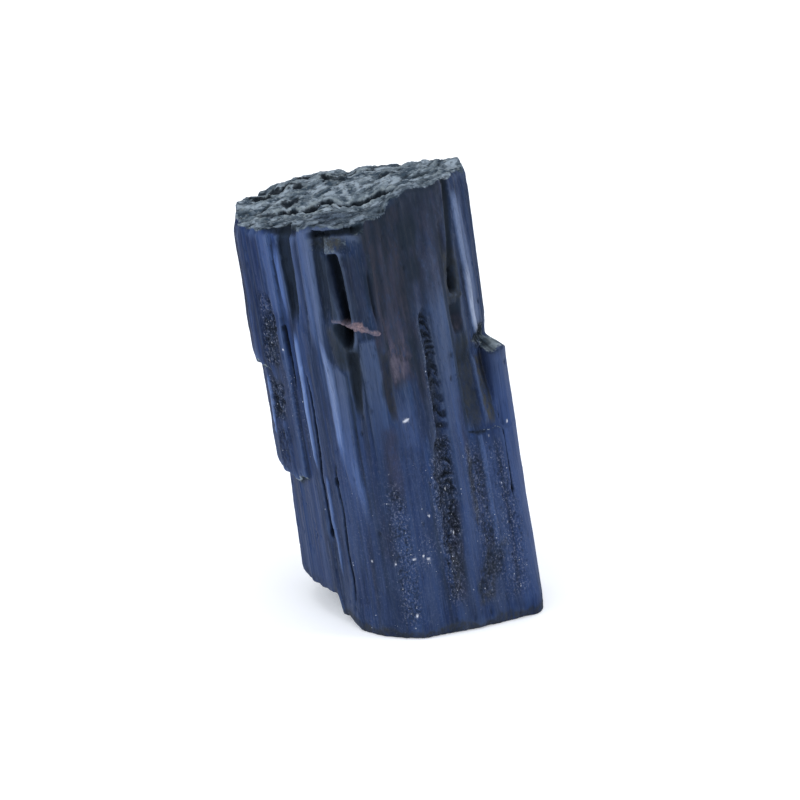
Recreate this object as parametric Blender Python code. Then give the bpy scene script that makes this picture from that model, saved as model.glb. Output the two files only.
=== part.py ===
"""Black tourmaline (schorl) crystal: one striated prism broken at both ends,
standing on its lower break with a slight lean.

The crystal is drawn in its own frame (x across, y towards the back, z along
the prism axis) and hung under an empty that gives it its lean.  All design
dimensions are millimetres and are turned into metres as the meshes are made.
"""
import math

import bmesh
import bpy
from mathutils import Matrix, Vector, noise

MM = 0.001

# ------------------------------------------------------------------ dimensions
LEAN_LEFT = 8.2          # degrees the prism axis leans towards -X
LEAN_FRONT = 3.5         # degrees the prism axis leans towards -Y (the front)
FOOT_X = 3.335            # where the prism axis meets the ground, along X
FOOT_Y = 2.066            # where the prism axis meets the ground, along Y

LOFT_BOTTOM = -4.0       # the prism is lofted past both breaks, then cut back
LOFT_TOP = 40.0
STATIONS = 11            # sections along the prism
STRIPS = 3               # striation strips on each prism facet
STRIA_DEPTH = 0.13       # height of the coarse striations
STRIA_RUN = 0.055        # how quickly a striation changes along the prism

# Rounded-triangle section of a tourmaline prism: facet corners (x, q) with q
# towards the front, starting at the left corner and running along the front.
# The order of the corners is the same at each height.
SECTIONS = {
    2.0: [(-10.15, 0.9), (-9.2, 3.4), (-7.5, 5.7), (-5.4, 7.6), (-3.6, 9.0),
          (-2.0, 9.7), (-0.2, 9.55), (1.9, 8.6), (4.0, 7.2), (5.6, 5.6),
          (7.0, 3.2), (7.7, 0.2), (7.3, -3.0), (5.4, -4.7), (2.0, -6.0),
          (-2.2, -6.4), (-5.7, -5.6), (-8.5, -3.8), (-9.9, -1.2)],
    14.0: [(-9.75, 0.9), (-9.0, 3.3), (-7.5, 5.6), (-5.5, 7.4), (-3.6, 8.9),
           (-2.1, 9.6), (-0.3, 9.4), (1.8, 8.2), (3.9, 6.7), (5.5, 5.0),
           (6.95, 2.7), (7.65, -0.2), (7.3, -3.0), (5.2, -4.9), (1.8, -6.1),
           (-2.2, -6.4), (-5.8, -5.7), (-8.5, -4.0), (-9.7, -1.5)],
    22.0: [(-9.8, 0.7), (-9.2, 3.0), (-7.8, 5.3), (-5.6, 7.2), (-3.6, 8.7),
           (-2.2, 9.4), (-0.4, 9.1), (1.6, 7.6), (3.7, 6.0), (5.4, 4.5),
           (6.9, 2.2), (7.65, -0.6), (7.3, -3.1), (5.0, -5.0), (1.6, -6.1),
           (-2.2, -6.5), (-5.9, -5.8), (-8.6, -4.1), (-9.7, -1.7)],
    36.0: [(-10.2, 0.5), (-9.7, 2.5), (-8.2, 4.7), (-5.8, 6.5), (-3.6, 8.0),
           (-2.2, 8.7), (-0.6, 8.2), (1.3, 6.2), (3.4, 4.0), (5.2, 2.0),
           (6.9, -0.4), (7.8, -2.2), (7.4, -3.8), (5.1, -5.2), (1.7, -6.2),
           (-2.2, -6.6), (-6.0, -5.9), (-8.8, -4.2), (-10.0, -1.8)],
}

# Parallel sub-crystals grown on the prism: outlines (x, q) at heights along
# it, how far the upper or lower end slopes down towards the outside, and how
# far the upper end falls towards the back.
LEFT_INNER = [(-9.3, -3.0), (-10.25, -1.3), (-10.42, 0.6), (-9.85, 2.8),
              (-9.1, 3.95), (-8.0, 5.0), (-6.5, 2.5), (-6.5, -2.0)]
LEFT_OUTER = [(-9.9, -2.8), (-10.75, -1.6), (-11.0, 0.4), (-10.5, 2.3),
              (-9.8, 3.35), (-8.8, 4.3), (-7.0, 1.8), (-7.0, -1.6)]
RIGHT_BLOCK = [(6.70, 1.7), (7.70, 3.0), (8.30, 3.2), (8.85, 2.75),
               (9.12, 1.9), (9.18, 0.8), (8.95, -0.8), (8.3, -2.4),
               (6.3, -3.0), (5.0, 0.8)]
FRONT_RIGHT_FOOT = [(2.0, 8.4), (2.95, 8.12), (4.12, 7.62), (5.22, 7.05),
                    (5.75, 6.7), (6.98, 5.92), (8.38, 5.20), (9.0, 4.7),
                    (9.27, 3.85), (9.26, 1.75), (9.0, -0.9), (8.3, -2.5),
                    (6.4, -2.8), (3.4, 5.0)]
FRONT_RIGHT_WAIST = [(1.7, 7.7), (2.3, 7.4), (3.3, 6.7), (4.6, 5.5),
                     (5.3, 5.10), (6.40, 4.75), (7.65, 4.05), (8.10, 3.70),
                     (8.46, 3.36), (9.13, 1.95), (8.95, -0.8), (8.3, -2.4),
                     (6.4, -2.8), (4.0, 3.6)]
FRONT_RIGHT_HEAD = [(1.3, 6.9), (1.9, 6.6), (2.9, 5.9), (4.1, 4.8),
                    (5.0, 4.2), (5.7, 3.1), (6.5, 2.0), (6.8, 1.4),
                    (6.9, 0.9), (7.0, 0.3), (7.0, -0.8), (6.8, -2.2),
                    (6.0, -2.6), (3.6, 3.0)]
BACK_RIB = [(-4.9, -6.2), (-3.6, -6.85), (-1.4, -6.95), (-0.4, -6.4),
            (-0.9, -4.4), (-4.4, -4.2)]
SUBCRYSTALS = {
    "left_layer_inner": dict(
        rings=[(13.7, LEFT_INNER), (41.0, LEFT_INNER)], slope=-0.9, fall=0.0),
    "left_layer_outer": dict(
        rings=[(23.2, LEFT_OUTER), (41.0, LEFT_OUTER)], slope=-1.1, fall=0.0),
    "right_block": dict(
        rings=[(-4.0, RIGHT_BLOCK), (22.2, RIGHT_BLOCK)], slope=0.12, fall=0.30),
    "front_right_block": dict(
        rings=[(-4.0, FRONT_RIGHT_FOOT), (0.0, FRONT_RIGHT_FOOT),
               (15.9, FRONT_RIGHT_WAIST), (21.6, FRONT_RIGHT_HEAD)],
        slope=0.0, fall=0.0),
    "back_rib": dict(
        rings=[(-4.0, BACK_RIB), (27.5, BACK_RIB)], slope=0.5, fall=0.0),
}

# Furrows along the prism: x, side (front +1 / back -1), lower and upper end,
# width, depth, and how far the face they cut stands proud of the prism.
FURROWS = [
    ("furrow_deep", -2.75, 1, 26.4, 34.9, 0.95, 1.15, 0.0),
    ("furrow_left_dark", -6.70, 1, 25.6, 36.6, 0.85, 0.50, 0.0),
    ("furrow_thin", -6.85, 1, 12.4, 25.4, 0.34, 0.50, 0.0),
    ("furrow_dotted", -5.45, 1, 2.8, 16.4, 0.30, 0.35, 0.0),
    ("furrow_centre", -2.75, 1, 19.8, 26.8, 0.90, 0.45, 0.0),
    ("furrow_olive", -0.20, 1, 18.8, 26.4, 0.70, 0.35, 0.0),
    ("furrow_pitted_upper", 3.05, 1, 17.2, 28.6, 0.95, 0.50, 0.0),
    ("furrow_pitted_lower", 2.75, 1, 7.4, 18.4, 1.45, 0.60, 0.10),
    ("furrow_right_upper", 5.65, 1, 27.2, 33.6, 0.70, 0.65, 0.0),
    ("furrow_right_low", 5.00, 1, 2.2, 8.6, 1.00, 0.45, 0.50),
    ("furrow_back_left", -6.60, -1, 6.0, 24.0, 0.80, 0.45, 0.0),
    ("furrow_back_mid", 0.60, -1, 9.0, 33.0, 0.70, 0.50, 0.0),
    ("furrow_back_right", 3.60, -1, 3.0, 19.0, 1.00, 0.55, 0.0),
]

# Upper break: height of the break along the prism axis at points (x, q).
BREAK_POINTS = [
    (-10.7, 1.0, 35.4), (-10.6, -0.2, 35.9), (-9.4, 3.4, 35.7),
    (-7.5, 5.3, 36.1), (-5.8, 6.5, 36.5), (-4.2, 7.6, 36.8),
    (-2.6, 8.5, 36.8), (-1.0, 8.3, 36.5), (1.0, 6.5, 36.5),
    (2.3, 5.2, 37.2), (3.6, 3.9, 37.4), (5.3, 1.8, 36.7),
    (6.8, -0.3, 36.3), (7.6, -3.0, 35.9), (4.9, -5.2, 35.8),
    (1.3, -6.2, 35.6), (-2.4, -6.5, 35.6), (-5.6, -6.0, 35.7),
    (-8.3, -4.5, 35.7), (-9.9, -2.6, 35.8), (-5.5, 1.5, 35.7),
    (-0.5, 2.0, 35.5), (3.5, -1.0, 36.2), (-2.0, -3.0, 36.3),
]
# Step across the break: q of its foot along x, and x of its right-hand end
# along q.  The front left part of the break lies lower.
STEP_FOOT = [(-8.4, 2.3), (-6.8, 1.2), (-5.4, 1.2), (-4.4, 0.7), (-3.3, 0.3),
             (-1.8, 0.8), (0.0, 0.4), (1.4, 0.7), (2.6, 0.9), (4.2, 0.0),
             (7.0, -2.0)]
STEP_END = [(0.9, 2.3), (2.5, 2.1), (4.5, 1.8), (6.5, 1.3), (8.5, 0.5)]
BREAK_GRAIN = 0.34       # roughness of the broken surface
BREAK_CELL = 0.62        # spacing of the grid that carries it
STEP_HEIGHT = 0.34       # height of that step

# Chips knocked off edges: centre (x, q, z), radii (x, q, z), turn about z.
CHIPS = [
    ("chip_rim_front", (-2.9, 9.15, 35.2), (1.45, 0.95, 0.70), 0),
    ("chip_rim_left", (-7.4, 6.3, 36.0), (1.20, 0.80, 1.0), 20),
    ("chip_rim_back", (-6.9, -6.3, 36.2), (1.5, 0.9, 1.0), -15),
    ("chip_rim_right", (8.3, -2.6, 36.3), (0.9, 1.3, 1.0), 10),
    ("chip_hole", (-2.75, 9.35, 27.2), (0.70, 0.95, 1.2), 0),
    ("chip_side_right", (5.65, 2.75, 28.7), (0.45, 0.9, 0.9), 0),
    ("chip_ledge_right", (7.5, 2.1, 23.2), (1.2, 1.5, 0.8), 15),
    ("chip_foot_left_a", (-10.3, 2.6, 0.9), (3.4, 5.6, 2.75), 18),
    ("chip_foot_left_b", (-7.5, 8.3, 0.9), (2.2, 2.4, 1.35), 30),
    ("chip_foot_front", (-2.2, 11.2, 0.3), (4.4, 1.9, 1.05), 6),
    ("chip_foot_front_right", (4.6, 9.3, -0.9), (3.2, 2.1, 1.15), -24),
    ("chip_foot_right", (9.9, 2.6, -1.6), (1.5, 3.6, 1.15), 0),
    ("chip_foot_back", (-3.2, -7.6, 0.5), (5.4, 1.9, 1.5), 0),
    ("chip_foot_back_right", (6.9, -4.9, -0.9), (2.6, 2.2, 1.6), 35),
]
CHIP_GRAIN = 0.16
WELD = 0.03              # corners closer than this are one corner


# ------------------------------------------------------------------- functions
def corners_at(z):
    """Section corners at height z, blended between the design sections."""
    zs = sorted(SECTIONS)
    if z <= zs[0]:
        return [Vector(c) for c in SECTIONS[zs[0]]]
    if z >= zs[-1]:
        return [Vector(c) for c in SECTIONS[zs[-1]]]
    for lo, hi in zip(zs, zs[1:]):
        if lo <= z <= hi:
            f = (z - lo) / (hi - lo)
            return [Vector(a).lerp(Vector(b), f)
                    for a, b in zip(SECTIONS[lo], SECTIONS[hi])]
    return []


def stria(index, z):
    """Signed height of one striation strip at height z."""
    sign = 1.0 if index % 2 else -1.0
    lift = 0.45 + 0.55 * noise.noise(Vector((index * 1.37, z * STRIA_RUN, 4.1)))
    return sign * STRIA_DEPTH * (0.35 + lift)


def section_at(z):
    """Striated section outline at height z."""
    corners = corners_at(z)
    out = []
    count = len(corners)
    for i, corner in enumerate(corners):
        edge = corners[(i + 1) % count] - corner
        normal = Vector((-edge.y, edge.x)).normalized()
        for k in range(STRIPS):
            point = corner + edge * (k / STRIPS)
            out.append(point + normal * stria(i * STRIPS + k, z))
    return out


def surface_q(x, side, z):
    """Front or back face of the prism at x: its q and outward normal."""
    corners = corners_at(z)
    best = None
    for a, b in zip(corners, corners[1:] + corners[:1]):
        if (a.x - x) * (b.x - x) > 0 or a.x == b.x:
            continue
        q = a.y + (b.y - a.y) * (x - a.x) / (b.x - a.x)
        if best is None or side * q > side * best[0]:
            n = Vector((-(b.y - a.y), b.x - a.x)).normalized()
            best = (q, n)
    return best


def local(x, q, z):
    """Design coordinates to the crystal's own frame, in metres."""
    return Vector((x * MM, -q * MM, z * MM))


def ease(f):
    """Smooth rise from 0 to 1."""
    f = min(1.0, max(0.0, f))
    return f * f * (3.0 - 2.0 * f)


def along(points, x):
    """Value at x on a line through points (x, value)."""
    if x <= points[0][0]:
        return points[0][1]
    for (x0, v0), (x1, v1) in zip(points, points[1:]):
        if x <= x1:
            return v0 + (v1 - v0) * (x - x0) / (x1 - x0)
    return points[-1][1]


def break_height(x, q):
    """Height of the upper break: smooth through the points, then stepped."""
    total = weight = 0.0
    for px, pq, pz in BREAK_POINTS:
        w = 1.0 / ((px - x) ** 2 + (pq - q) ** 2 + 0.6) ** 1.6
        total += w * pz
        weight += w
    z = total / weight
    ahead = min(q - along(STEP_FOOT, x), along(STEP_END, q) - x)
    z -= (STEP_HEIGHT * ease((x + 9.0) / 2.0) * ease((ahead + 0.1) / 0.35)
          * min(1.0, max(0.0, 1.0 - (ahead - 0.2) / 4.2)))
    z += BREAK_GRAIN * noise.noise(Vector((x * 0.55, q * 0.7, 1.7)))
    z += 0.55 * BREAK_GRAIN * noise.noise(Vector((x * 1.5, q * 1.7, 7.3)))
    return z


def link(obj, collection, parent=None):
    collection.objects.link(obj)
    if parent is not None:
        obj.parent = parent
    return obj


def mesh_object(name, bm, collection, parent=None):
    bmesh.ops.recalc_face_normals(bm, faces=bm.faces)
    mesh = bpy.data.meshes.new(name)
    bm.to_mesh(mesh)
    bm.free()
    return link(bpy.data.objects.new(name, mesh), collection, parent)


def loft(name, collection, parent):
    """Prism as a loft between its unlike sections."""
    bm = bmesh.new()
    rings = []
    for s in range(STATIONS):
        z = LOFT_BOTTOM + (LOFT_TOP - LOFT_BOTTOM) * s / (STATIONS - 1)
        rings.append([bm.verts.new(local(p.x, p.y, z)) for p in section_at(z)])
    count = len(rings[0])
    for low, high in zip(rings, rings[1:]):
        for i in range(count):
            j = (i + 1) % count
            bm.faces.new((low[i], low[j], high[j], high[i]))
    bm.faces.new(rings[0])
    bm.faces.new(rings[-1])
    return mesh_object(name, bm, collection, parent)


def subcrystal(name, rings, slope, fall, collection, parent):
    """Outlines lofted along the prism, with sloping ends."""
    bm = bmesh.new()
    reach = max(abs(x) for x, _ in rings[0][1])
    loops = []
    for level, (z, outline) in enumerate(rings):
        loop = []
        for x, q in outline:
            drop = slope * (abs(x) - reach)
            lower = level == 0 and slope < 0 and z > 0
            upper = level == len(rings) - 1 and slope >= 0
            end = z - (drop if lower or upper else 0.0)
            if upper:
                end -= fall * max(0.0, 2.0 - q)
            loop.append(bm.verts.new(local(x, q, end)))
        loops.append(loop)
    for low, high in zip(loops, loops[1:]):
        for i in range(len(low)):
            j = (i + 1) % len(low)
            bm.faces.new((low[i], low[j], high[j], high[i]))
    bm.faces.new(loops[0])
    bm.faces.new(loops[-1])
    bmesh.ops.subdivide_edges(
        bm, edges=[e for e in bm.edges
                   if abs(e.verts[0].co.z - e.verts[1].co.z) > 2 * MM],
        cuts=5)
    for vert in bm.verts:
        n = noise.noise(Vector((vert.co.x * 900.0, vert.co.y * 900.0,
                                vert.co.z * 160.0)))
        flat = Vector((vert.co.x, vert.co.y, 0.0))
        if flat.length > 5.5 * MM:
            vert.co += flat.normalized() * n * 0.10 * MM
    return mesh_object(name, bm, collection, parent)


def furrow(name, x, side, z0, z1, width, depth, proud, collection, parent):
    """Long spindle that cuts one furrow into a prism face."""
    zm = 0.5 * (z0 + z1)
    q, n = surface_q(x, side, zm)
    q0, _ = surface_q(x, side, z0)
    q1, _ = surface_q(x, side, z1)
    bm = bmesh.new()
    bmesh.ops.create_uvsphere(bm, u_segments=6, v_segments=8, radius=1.0)
    turn = math.atan2(-n.x, -n.y)
    size = Matrix.Diagonal((0.5 * width * MM, depth * MM,
                            0.5 * (z1 - z0) * MM, 1.0))
    spin = Matrix.Rotation(turn, 4, "Z")
    bmesh.ops.transform(bm, matrix=spin @ size, verts=bm.verts)
    lean = (q1 - q0) / (z1 - z0)
    for vert in bm.verts:
        vert.co.y -= lean * vert.co.z
    centre = local(x, q, zm) + Vector((n.x, -n.y, 0.0)) * (proud + 0.05) * MM
    bmesh.ops.translate(bm, vec=centre, verts=bm.verts)
    return mesh_object(name, bm, collection, parent)


def chip(name, centre, radii, turn, collection, parent):
    """Uneven lump that knocks a chip off an edge."""
    bm = bmesh.new()
    bmesh.ops.create_icosphere(bm, subdivisions=3, radius=1.0)
    x, q, z = centre
    for vert in bm.verts:
        seed = vert.co * 1.9 + Vector((x, q, z))
        vert.co *= 1.0 + CHIP_GRAIN * noise.noise(seed)
    size = Matrix.Diagonal((radii[0] * MM, radii[1] * MM, radii[2] * MM, 1.0))
    spin = Matrix.Rotation(math.radians(turn), 4, "Z")
    bmesh.ops.transform(bm, matrix=spin @ size, verts=bm.verts)
    bmesh.ops.translate(bm, vec=local(x, q, z), verts=bm.verts)
    return mesh_object(name, bm, collection, parent)


def upper_break(name, collection, parent):
    """Block whose underside is the rough upper break."""
    half = 13.0
    cells = int(2 * half / BREAK_CELL)
    bm = bmesh.new()
    bmesh.ops.create_grid(bm, x_segments=cells, y_segments=cells,
                          size=half * MM)
    centre_x, centre_q = -1.4, 1.2
    for vert in bm.verts:
        vert.co.x += centre_x * MM
        vert.co.y -= centre_q * MM
        x, q = vert.co.x / MM, -vert.co.y / MM
        vert.co.x += 0.16 * MM * noise.noise(Vector((x * 2.1, q * 2.1, 3.0)))
        vert.co.y += 0.16 * MM * noise.noise(Vector((x * 2.1, q * 2.1, 9.0)))
        vert.co.z = break_height(x, q) * MM
    moved = bmesh.ops.extrude_face_region(bm, geom=list(bm.faces))["geom"]
    for vert in (v for v in moved if isinstance(v, bmesh.types.BMVert)):
        vert.co.z = 46.0 * MM
    return mesh_object(name, bm, collection, parent)


def ground_cut(name, collection):
    """Flat block below z = 0 that leaves the face the crystal stands on."""
    bm = bmesh.new()
    bmesh.ops.create_cube(bm, size=1.0)
    bmesh.ops.scale(bm, vec=(0.060, 0.060, 0.020), verts=bm.verts)
    bmesh.ops.translate(bm, vec=(0.0, 0.0, -0.010), verts=bm.verts)
    return mesh_object(name, bm, collection)


def boolean(target, other, operation):
    mod = target.modifiers.new(f"{operation.lower()}_{other.name}", "BOOLEAN")
    mod.operation = operation
    mod.solver = "EXACT"
    mod.object = other
    other.hide_render = True
    other.display_type = "WIRE"


def schorl():
    mat = bpy.data.materials.new("black_tourmaline")
    mat.use_nodes = True
    bsdf = mat.node_tree.nodes["Principled BSDF"]
    bsdf.inputs["Base Color"].default_value = (0.045, 0.060, 0.105, 1.0)
    bsdf.inputs["Roughness"].default_value = 0.38
    bsdf.inputs["Metallic"].default_value = 0.0
    bsdf.inputs["IOR"].default_value = 1.64
    return mat


def main():
    for obj in list(bpy.data.objects):
        bpy.data.objects.remove(obj, do_unlink=True)
    scene = bpy.context.scene
    parts = bpy.data.collections.new("tourmaline_crystal")
    cutters = bpy.data.collections.new("tourmaline_cutters")
    scene.collection.children.link(parts)
    scene.collection.children.link(cutters)

    axis = Vector((-math.tan(math.radians(LEAN_LEFT)),
                   -math.tan(math.radians(LEAN_FRONT)), 1.0)).normalized()
    back = Vector((0.0, 1.0, 0.0))
    back = (back - axis * back.dot(axis)).normalized()
    across = back.cross(axis)
    frame = Matrix((across, back, axis)).transposed().to_4x4()
    stand = bpy.data.objects.new("prism_axis", None)
    stand.matrix_world = (
        Matrix.Translation((FOOT_X * MM, FOOT_Y * MM, 0.0)) @ frame)
    parts.objects.link(stand)

    crystal = loft("tourmaline_crystal", parts, stand)
    crystal.data.materials.append(schorl())
    for name, spec in SUBCRYSTALS.items():
        grown = subcrystal(name, collection=cutters, parent=stand, **spec)
        boolean(crystal, grown, "UNION")
    for row in FURROWS:
        boolean(crystal, furrow(*row, cutters, stand), "DIFFERENCE")
    boolean(crystal, upper_break("upper_break", cutters, stand), "DIFFERENCE")
    for row in CHIPS:
        boolean(crystal, chip(*row, cutters, stand), "DIFFERENCE")
    boolean(crystal, ground_cut("ground_cut", cutters), "DIFFERENCE")
    weld = crystal.modifiers.new("weld_slivers", "WELD")
    weld.merge_threshold = WELD * MM


main()
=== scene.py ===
"""Looks of the black tourmaline crystal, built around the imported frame."""
import math

import bpy
import numpy as np
from mathutils import Matrix, Vector
from mathutils.geometry import delaunay_2d_cdt


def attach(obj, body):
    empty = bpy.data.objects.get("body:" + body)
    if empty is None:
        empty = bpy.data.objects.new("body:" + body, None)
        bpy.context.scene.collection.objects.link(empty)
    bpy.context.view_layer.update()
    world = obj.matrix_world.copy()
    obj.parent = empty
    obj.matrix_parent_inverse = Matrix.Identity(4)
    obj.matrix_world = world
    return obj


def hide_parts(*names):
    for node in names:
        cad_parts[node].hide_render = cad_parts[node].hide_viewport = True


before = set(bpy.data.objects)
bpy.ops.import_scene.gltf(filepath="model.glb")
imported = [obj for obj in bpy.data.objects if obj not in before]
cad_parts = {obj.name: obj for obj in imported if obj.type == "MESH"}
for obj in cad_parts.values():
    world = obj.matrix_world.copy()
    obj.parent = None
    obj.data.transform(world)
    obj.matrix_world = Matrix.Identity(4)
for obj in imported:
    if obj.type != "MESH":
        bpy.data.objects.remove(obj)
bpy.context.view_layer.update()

MM = 0.001
NODE = "tourmaline_crystal"

# ------------------------------------------------------- the crystal's own frame
LEAN_LEFT, LEAN_FRONT = 8.2, 3.5
FOOT = (3.335, 2.066)

axis = np.array([-math.tan(math.radians(LEAN_LEFT)),
                 -math.tan(math.radians(LEAN_FRONT)), 1.0])
axis /= np.linalg.norm(axis)
back = np.array([0.0, 1.0, 0.0])
back -= axis * back.dot(axis)
back /= np.linalg.norm(back)
across = np.cross(back, axis)


def to_world(p, q, t):
    """Crystal coordinates (across, towards the front, along the prism) to mm in the part's frame."""
    return (p[..., None] * across - q[..., None] * back + t[..., None] * axis
            + np.array([FOOT[0], FOOT[1], 0.0]))


def ground_t(p, q):
    return -(p * across[2] - q * back[2]) / axis[2]


SECTIONS = {
    2.0: [(-10.15, 0.9), (-9.2, 3.4), (-7.5, 5.7), (-5.4, 7.6), (-3.6, 9.0),
          (-2.0, 9.7), (-0.2, 9.55), (1.9, 8.6), (4.0, 7.2), (5.6, 5.6),
          (7.0, 3.2), (7.7, 0.2), (7.3, -3.0), (5.4, -4.7), (2.0, -6.0),
          (-2.2, -6.4), (-5.7, -5.6), (-8.5, -3.8), (-9.9, -1.2)],
    14.0: [(-9.75, 0.9), (-9.0, 3.3), (-7.5, 5.6), (-5.5, 7.4), (-3.6, 8.9),
           (-2.1, 9.6), (-0.3, 9.4), (1.8, 8.2), (3.9, 6.7), (5.5, 5.0),
           (6.95, 2.7), (7.65, -0.2), (7.3, -3.0), (5.2, -4.9), (1.8, -6.1),
           (-2.2, -6.4), (-5.8, -5.7), (-8.5, -4.0), (-9.7, -1.5)],
    22.0: [(-9.8, 0.7), (-9.2, 3.0), (-7.8, 5.3), (-5.6, 7.2), (-3.6, 8.7),
           (-2.2, 9.4), (-0.4, 9.1), (1.6, 7.6), (3.7, 6.0), (5.4, 4.5),
           (6.9, 2.2), (7.65, -0.6), (7.3, -3.1), (5.0, -5.0), (1.6, -6.1),
           (-2.2, -6.5), (-5.9, -5.8), (-8.6, -4.1), (-9.7, -1.7)],
    36.0: [(-10.2, 0.5), (-9.7, 2.5), (-8.2, 4.7), (-5.8, 6.5), (-3.6, 8.0),
           (-2.2, 8.7), (-0.6, 8.2), (1.3, 6.2), (3.4, 4.0), (5.2, 2.0),
           (6.9, -0.4), (7.8, -2.2), (7.4, -3.8), (5.1, -5.2), (1.7, -6.2),
           (-2.2, -6.6), (-6.0, -5.9), (-8.8, -4.2), (-10.0, -1.8)],
}
SEC_Z = np.array(sorted(SECTIONS))
SEC_C = np.array([SECTIONS[z] for z in SEC_Z])
MEAN = SEC_C.mean(0)
ARC = np.concatenate([[0.0], np.cumsum(np.linalg.norm(np.roll(MEAN, -1, 0) - MEAN, axis=1))])
ROUND = ARC[-1]                    # perimeter of the mean section, mm

# parallel sub-crystals: outline, lower end, upper end, raggedness of each end, slope of the end
LAYERS = [
    dict(name="left_inner", z0=13.7, z1=60, ragged=0.45, slope=0.0, soft=0.35, more=0.10,
         outline=[(-9.3, -3.0), (-10.25, -1.3), (-10.42, 0.6), (-9.85, 2.8),
                  (-9.1, 3.95), (-8.0, 5.25), (-6.5, 2.5), (-6.5, -2.0)]),
    dict(name="left_outer", z0=23.3, z1=60, ragged=0.9, slope=0.5, soft=0.35, more=0.08,
         outline=[(-9.9, -2.8), (-10.75, -1.6), (-11.0, 0.4), (-10.5, 2.3),
                  (-9.8, 3.35), (-8.8, 4.45), (-7.0, 1.8), (-7.0, -1.6)]),
    dict(name="back_rib", z0=-9, z1=27.3, ragged=0.5, slope=0.0, soft=0.4,
         outline=[(-4.9, -6.2), (-3.6, -6.85), (-1.4, -6.95), (-0.4, -6.4),
                  (-0.9, -4.4), (-4.4, -4.2)]),
]

# the two blocks on the right: place of each arc coordinate on their own faces
RIGHT_BLOCK = np.array([(24.75, 7.05, 1.8), (25.10, 7.70, 3.00), (25.6, 8.30, 3.20), (26.1, 8.85, 2.75), (26.6, 9.12, 1.9),
                        (27.2, 9.18, 0.8), (28.3, 8.95, -0.8), (29.4, 8.3, -2.4), (30.7, 6.7, -3.7)])
FRONT_BLOCK_HI = np.array([(21.1, 5.30, 5.10), (21.7, 5.78, 5.00), (22.6, 6.40, 4.75), (23.5, 7.02, 4.45),
                           (24.4, 7.65, 4.05), (25.1, 8.10, 3.70), (25.6, 8.46, 3.36), (26.1, 8.90, 2.85), (26.6, 9.13, 1.95),
                           (27.2, 9.18, 0.8), (28.3, 8.95, -0.8), (29.4, 8.3, -2.4), (30.7, 6.7, -3.7)])
FRONT_BLOCK_LO = np.array([(16.4, 2.00, 8.60), (17.6, 2.95, 8.12), (19.0, 4.12, 7.62), (20.4, 5.22, 7.05),
                           (21.5, 6.05, 6.50), (22.6, 6.98, 5.92), (23.5, 7.68, 5.62),
                           (24.4, 8.38, 5.20), (25.0, 8.95, 4.80), (25.5, 9.26, 4.05), (26.4, 9.26, 2.1),
                           (28.3, 9.00, -0.9), (29.4, 8.3, -2.5), (30.7, 6.7, -3.7)])

BREAK_POINTS = np.array([
    (-10.7, 1.0, 35.4), (-10.6, -0.2, 35.9), (-9.4, 3.4, 35.7),
    (-7.5, 5.3, 36.1), (-5.8, 6.5, 36.5), (-4.2, 7.6, 36.8),
    (-2.6, 8.5, 36.8), (-1.0, 8.3, 36.5), (1.0, 6.5, 36.5),
    (2.3, 5.2, 37.2), (3.6, 3.9, 37.4), (5.3, 1.8, 36.7), (6.8, -0.3, 36.3),
    (7.6, -3.0, 35.9), (4.9, -5.2, 35.8), (1.3, -6.2, 35.6),
    (-2.4, -6.5, 35.6), (-5.6, -6.0, 35.7), (-8.3, -4.5, 35.7),
    (-9.9, -2.6, 35.8), (-5.5, 1.5, 35.7), (-0.5, 2.0, 35.5),
    (3.5, -1.0, 36.2), (-2.0, -3.0, 36.3)])


# --------------------------------------------------------------------- noise kit
def _hash(a, b, c, seed):
    h = (a.astype(np.int64) * 374761393 + b.astype(np.int64) * 668265263
         + c.astype(np.int64) * 1274126177 + seed * 974634777) & 0xFFFFFFFF
    h = ((h ^ (h >> 13)) * 1274126177) & 0xFFFFFFFF
    h = ((h ^ (h >> 16)) * 2246822519) & 0xFFFFFFFF
    return ((h ^ (h >> 15)) & 0xFFFFFF) / float(0x1000000)


def noise3(x, y, z, seed=0):
    """Smooth value noise, -1 to 1."""
    x, y, z = np.broadcast_arrays(x, y, z)
    ix, iy, iz = np.floor(x), np.floor(y), np.floor(z)
    fx, fy, fz = x - ix, y - iy, z - iz
    fx, fy, fz = (f * f * f * (f * (f * 6 - 15) + 10) for f in (fx, fy, fz))
    ix, iy, iz = (i.astype(np.int64) for i in (ix, iy, iz))
    out = 0.0
    for dx in (0, 1):
        wx = fx if dx else 1 - fx
        for dy in (0, 1):
            wy = fy if dy else 1 - fy
            for dz in (0, 1):
                wz = fz if dz else 1 - fz
                out = out + wx * wy * wz * _hash(ix + dx, iy + dy, iz + dz, seed)
    return out * 2 - 1


def fbm(x, y, z, octaves=3, seed=0, gain=0.5):
    total, amp, norm = 0.0, 1.0, 0.0
    for o in range(octaves):
        total = total + amp * noise3(x * 2.03 ** o, y * 2.03 ** o, z * 2.03 ** o, seed + o * 17)
        norm += amp
        amp *= gain
    return total / norm


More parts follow.
